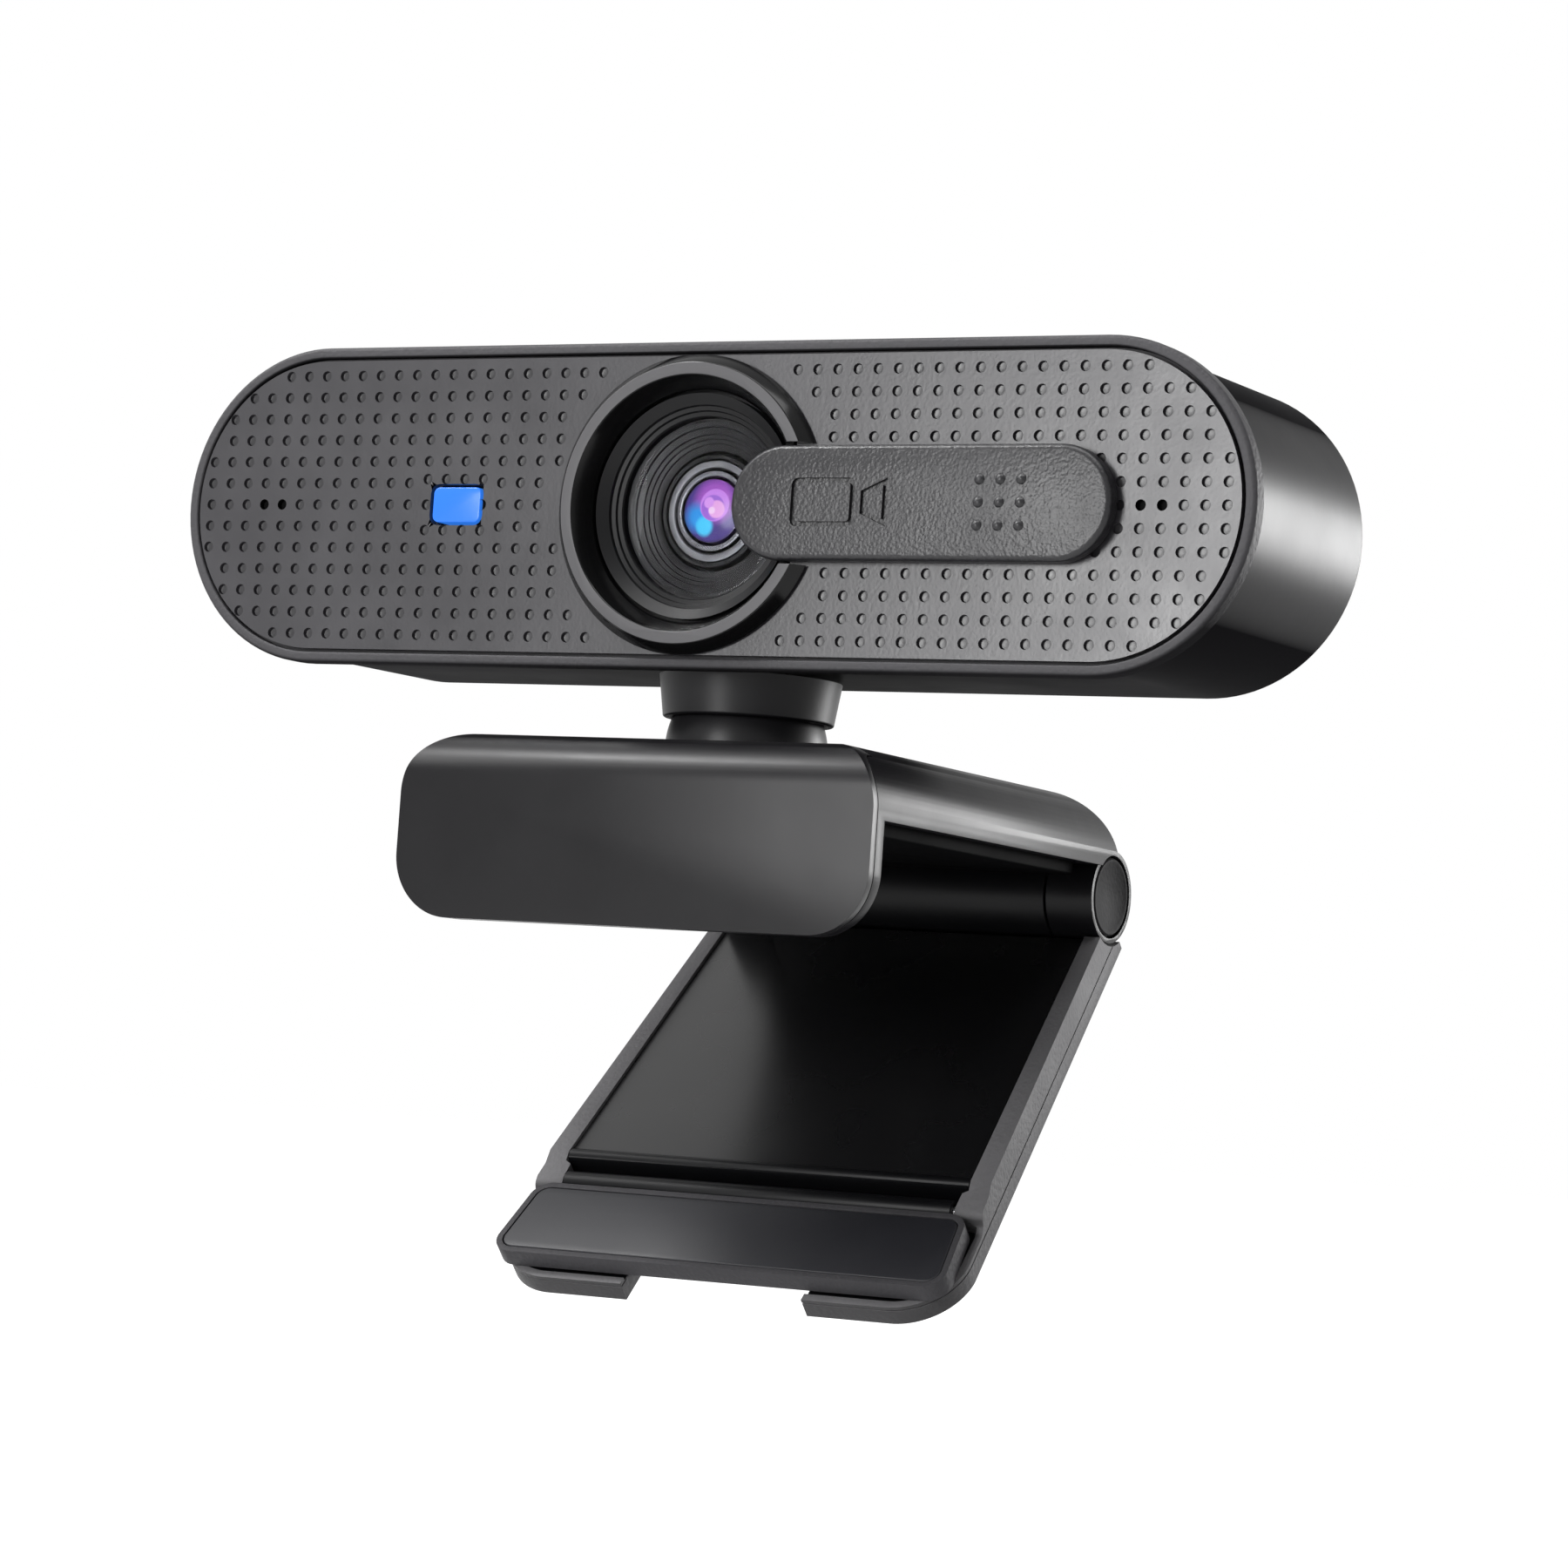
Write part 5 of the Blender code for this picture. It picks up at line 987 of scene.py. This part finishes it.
def build_leg():
    """A tray with a barrel at the hinge, and a rail each side that drops to an ear at the flap's pivot."""
    mesh = slab("leg", [leg_outline(0, LEG_CORNER)], LEG_BACK, LEG_INNER, "XY", LEG)
    tray = [(half_width_at(LEG_START) - RAIL, 2), (half_width_at(RAIL_END) - RAIL, -RAIL_END)]
    tray += [(EAR_INNER, -RAIL_END - GAP), (EAR_INNER, -EAR_END)]
    tray.append((half_width_at(EAR_END) - GAP, -EAR_END - 0.4))
    foot_corner = (half_width_at(LEG_LENGTH) - LEG_CORNER, LEG_CORNER - LEG_LENGTH)
    tray += arc(foot_corner, LEG_CORNER - RIM_WALL, 0, -1, FINE)
    ear = [(38.4, LEG_INNER), (39.7, -1.65), (41.3, -1.75), (42, -2.1), (42.4, -3)]
    ear += [(43.2, RIM_TOP), (44.6, RIM_TOP)]
    ear_top = [*softened(ear, 0.5, closed=False, steps=6), (LEG_LENGTH + 2, RIM_TOP)]
    groove = 0.14
    around = rounded(40, 60, 1, (0, -20))
    seam = [around, leg_outline(groove, LEG_CORNER - groove)]
    steps = [
        (CUT, slab("tray", [mirrored(tray)], LEG_FLOOR, 4, "XY", LEG)),
        (CUT, above(ear_top, "ear_tops")),
        (CUT, slab("seam", seam, LEG_FLOOR - groove / 2, LEG_FLOOR + groove / 2, "XY", LEG)),
    ]
    for sign in (-1, 1):
        ends = sorted((sign * (BARREL_HALF + GAP / 2), sign * (HINGE_HALF + 2)))
        steps.append((CUT, leg_rod(BARREL + GAP, *ends)))
    steps.append((JOIN, leg_rod(BARREL, -BARREL_HALF, BARREL_HALF)))

    # Painted shade: the barrel and the tray floor by the hinge, under the bridge, take the black.
    def inside(centre):
        place = on_leg(centre)
        return abs(place.x) < HINGE_HALF - 0.5 and (place.y > -BARREL or abs(place.z - LEG_FLOOR) < 0.05)

    piece("leg", shaped(mesh, *steps), STRIP, "leg", "textured_plastic", "leg_shell", bevel=0.1, smooth=30,
          inlay=(BARREL_SHADE_BLACK, inside))


def build_leg_cover():
    """The smooth panel between the rails, with a rolled lip at its lower end."""
    seam, sunk, lip_radius = 0.12, 0.25, 0.7
    first, last = BARREL + GAP, RAIL_END - GAP
    half_first, half_last = (half_width_at(along) - RAIL - seam for along in (first, last))
    outline = [(half_first, -first), (-half_first, -first), (-half_last, -last), (half_last, -last)]
    mesh = slab("leg_inner", [outline], LEG_FLOOR + GAP, LEG_INNER - sunk, "XY", LEG)
    lip = leg_rod(lip_radius, -half_last, half_last, last - lip_radius, LEG_INNER - lip_radius, 48)

    # Painted shade: the lip, in the shade by the flap, takes the black.
    def on_lip(centre):
        return on_leg(centre).y < 2 * lip_radius + 0.05 - last

    mesh = shaped(mesh, (JOIN, lip))
    piece("leg_inner", mesh, COVER, "leg", "satin_black", "leg_cover", bevel=0.06, smooth=40,
          inlay=(BARREL_SHADE_BLACK, on_lip))


FLAP_START, FLAP_TOP, FLAP_THICK, FLAP_SIDE = 42.4, -1.45, 1.8, 0.45
PIN_BORE = 0.65


def flap_outline(inset, corner, steps=8):
    start, end = FLAP_START + inset, LEG_LENGTH - RIM_WALL - GAP - inset
    narrow, wide = (half_width_at(along) - FLAP_SIDE - inset for along in (FLAP_START, LEG_LENGTH))
    right = arc((narrow - corner, -start - corner), corner, 1, 0, steps)
    return mirrored(right + arc((wide - corner, -end + corner), corner, 0, -1, steps))


def build_flap():
    """A plate with a pocket for its pad and a barrel round the pin."""
    bottom, half, barrel = FLAP_TOP - FLAP_THICK, EAR_INNER - GAP, 1.05
    mesh = slab("flap", [flap_outline(0, 2.0)], bottom, FLAP_TOP, "XY", LEG)
    web_low = (-half + 2, -FLAP_START - 2, bottom + 0.15)
    web_high = (half - 2, -PIVOT_ALONG, PIVOT_OFF + 0.5)
    mesh = shaped(
        mesh,
        (JOIN, leg_rod(barrel, -half, half, PIVOT_ALONG, PIVOT_OFF, 40)),
        (JOIN, block("web", web_low, web_high, LEG)),
        (CUT, leg_rod(PIN_BORE, -half - 2, half + 2, PIVOT_ALONG, PIVOT_OFF, 24)),
        (CUT, slab("pocket", [flap_outline(0.6, 1.4)], FLAP_TOP - 0.9, FLAP_TOP + 2, "XY", LEG)),
    )

    # Painted shade: the flap's barrel, in the shade between the lip and the flap, takes the black.
    def on_barrel(centre):
        return on_leg(centre).y > -FLAP_START + 0.1

    piece("flap", mesh, FOOT, "flap", "textured_plastic", "foot_flap", bevel=0.12, smooth=30,
          inlay=(BARREL_SHADE_BLACK, on_barrel))


def build_pad():
    mesh = slab("pad", [flap_outline(0.68, 1.32)], FLAP_TOP - 0.75, FLAP_TOP, "XY", LEG)
    piece("pad", mesh, PAD, "flap", "black_rubber", "flap_pad", bevel=0.15)


build_bezel()
build_panel()
build_shell()
build_ring()
build_dish()
build_lens()
build_element()
build_window()
build_shutter()
build_inlet()
build_dome()
build_collar()
build_bridge()
build_cap()
build_hinge_discs()
build_plate()
build_cover_screws()
build_leg()
build_leg_cover()
build_flap()
build_pad()

# CAD nodes that stay visible as they are, by material
SIDES = ("left", "right")
BEZEL_SCREWS = [f"bezel_screw_{height}_{side}" for height in ("lower", "upper") for side in SIDES]
KEPT = {
    STEEL: ["tilt_washer", "tilt_nut", "tilt_screw", "tilt_spring", "swivel_circlip", "hinge_pin", "flap_pin",
            *(f"{name}_{side}" for name in ("board_screw", "microphone") for side in SIDES), *BEZEL_SCREWS],
    LENS_REFLECTIONS_PAINTED: ["rear_element"],
    BOARD: ["main_board"],
    DISH: ["lens_holder"],
    FILTER: ["infrared_filter"],
    CHIP: ["image_sensor", "processor_chip"],
    NYLON: ["cable_socket", "shutter_catch", *(f"friction_bush_{side}" for side in SIDES)],
    LED: ["status_led"],
    RUBBER: [f"microphone_gasket_{side}" for side in SIDES],
}
for kept_material, names in KEPT.items():
    for name in names:
        frame["nodes"][name].material_slots[0].material = kept_material


# Stage


WHITE = (1, 1, 1, 1)
WORLD_LIGHT = 0.35
FLOOR_HEIGHT, FLOOR_HALF = -0.064, 6.0  # metres
FLOOR_GLOW = 0.88
BACKGROUND_RAYS = ("Is Camera Ray", "Is Glossy Ray", "Is Transmission Ray")


def background_ray(tree):
    """One when the ray is of any of the kinds that see the background."""
    path = tree.nodes.new("ShaderNodeLightPath")
    seen = path.outputs[BACKGROUND_RAYS[0]]
    for name in BACKGROUND_RAYS[1:]:
        seen = combined(tree, "MAXIMUM", seen, path.outputs[name])
    return seen


def floor_material():
    """Grey floor that glows white to a direct look, with the object's shadow kept."""
    shader = Shader("floor_white", (0.55, 0.55, 0.55), 0.9, specular=0.0)
    glow = combined(shader.tree, "MULTIPLY", background_ray(shader.tree), FLOOR_GLOW)
    shader.set("Emission Color", WHITE).link(glow, "Emission Strength")
    return shader.vary(3, 0.01).material


def build_floor():
    shape = bmesh.new()
    bmesh.ops.create_grid(shape, x_segments=8, y_segments=8, size=FLOOR_HALF)
    mesh = bpy.data.meshes.new("floor")
    shape.to_mesh(mesh)
    shape.free()
    mesh.materials.append(floor_material())
    floor = linked("floor", mesh)
    floor.location.z = FLOOR_HEIGHT


def build_world():
    """Plain light from all round, which a direct look and a reflection see as white."""
    world = bpy.data.worlds.new("studio")
    bpy.context.scene.world = world
    world.use_nodes = True
    tree = world.node_tree
    background = tree.nodes["Background"]
    background.inputs["Color"].default_value = WHITE
    strength = tree.nodes.new("ShaderNodeMapRange")
    strength.inputs["To Min"].default_value = WORLD_LIGHT
    strength.inputs["To Max"].default_value = 1.0
    tree.links.new(background_ray(tree), strength.inputs["Value"])
    tree.links.new(strength.outputs["Result"], background.inputs["Strength"])


def softbox(name, place, aim, size, power):
    """A rectangular lamp that the camera doesn't see, with its places in metres."""
    light = bpy.data.lights.new(name, "AREA")
    light.shape = "RECTANGLE"
    light.size, light.size_y = size
    light.energy = power
    obj = linked(name, light)
    obj.location = place
    obj.rotation_euler = (Vector(aim) - Vector(place)).to_track_quat("-Z", "Y").to_euler()
    obj.visible_camera = False


def build_camera():
    data = bpy.data.cameras.new("camera")
    data.sensor_width, data.lens = 36.0, 113.8
    data.clip_start, data.clip_end = 0.01, 50
    place = Vector((221.69, -390.75, -24.60)) * MM
    right, up, back = (0.8739, 0.4812, 0.0689), (-0.0279, -0.0917, 0.9954), (0.4853, -0.8718, -0.0667)
    turn = Matrix((right, up, back)).transposed().to_quaternion()
    camera = linked("camera", data)
    camera.matrix_world = Matrix.Translation(place) @ turn.to_matrix().to_4x4()
    bpy.context.scene.camera = camera


build_floor()
build_world()
build_camera()
CENTRE = (0, 0, 0.01)
softbox("front", (-0.07, -0.34, 0.05), (0.02, 0, 0.02), (0.09, 0.13), 0.85)
softbox("top", (0.05, -0.2, 0.7), CENTRE, (0.6, 0.3), 4)
softbox("right_back", (0.16, 0.24, 0.05), (0.03, 0.01, 0.02), (0.1, 0.09), 0.6)
softbox("brow", (-0.24, -0.18, 0.41), (0, -0.018, 0.006), (0.1, 0.1), 1.6)
softbox("left", (-0.55, -0.3, 0.5), CENTRE, (0.4, 0.4), 3.2)
bpy.context.scene.view_settings.view_transform = "Standard"
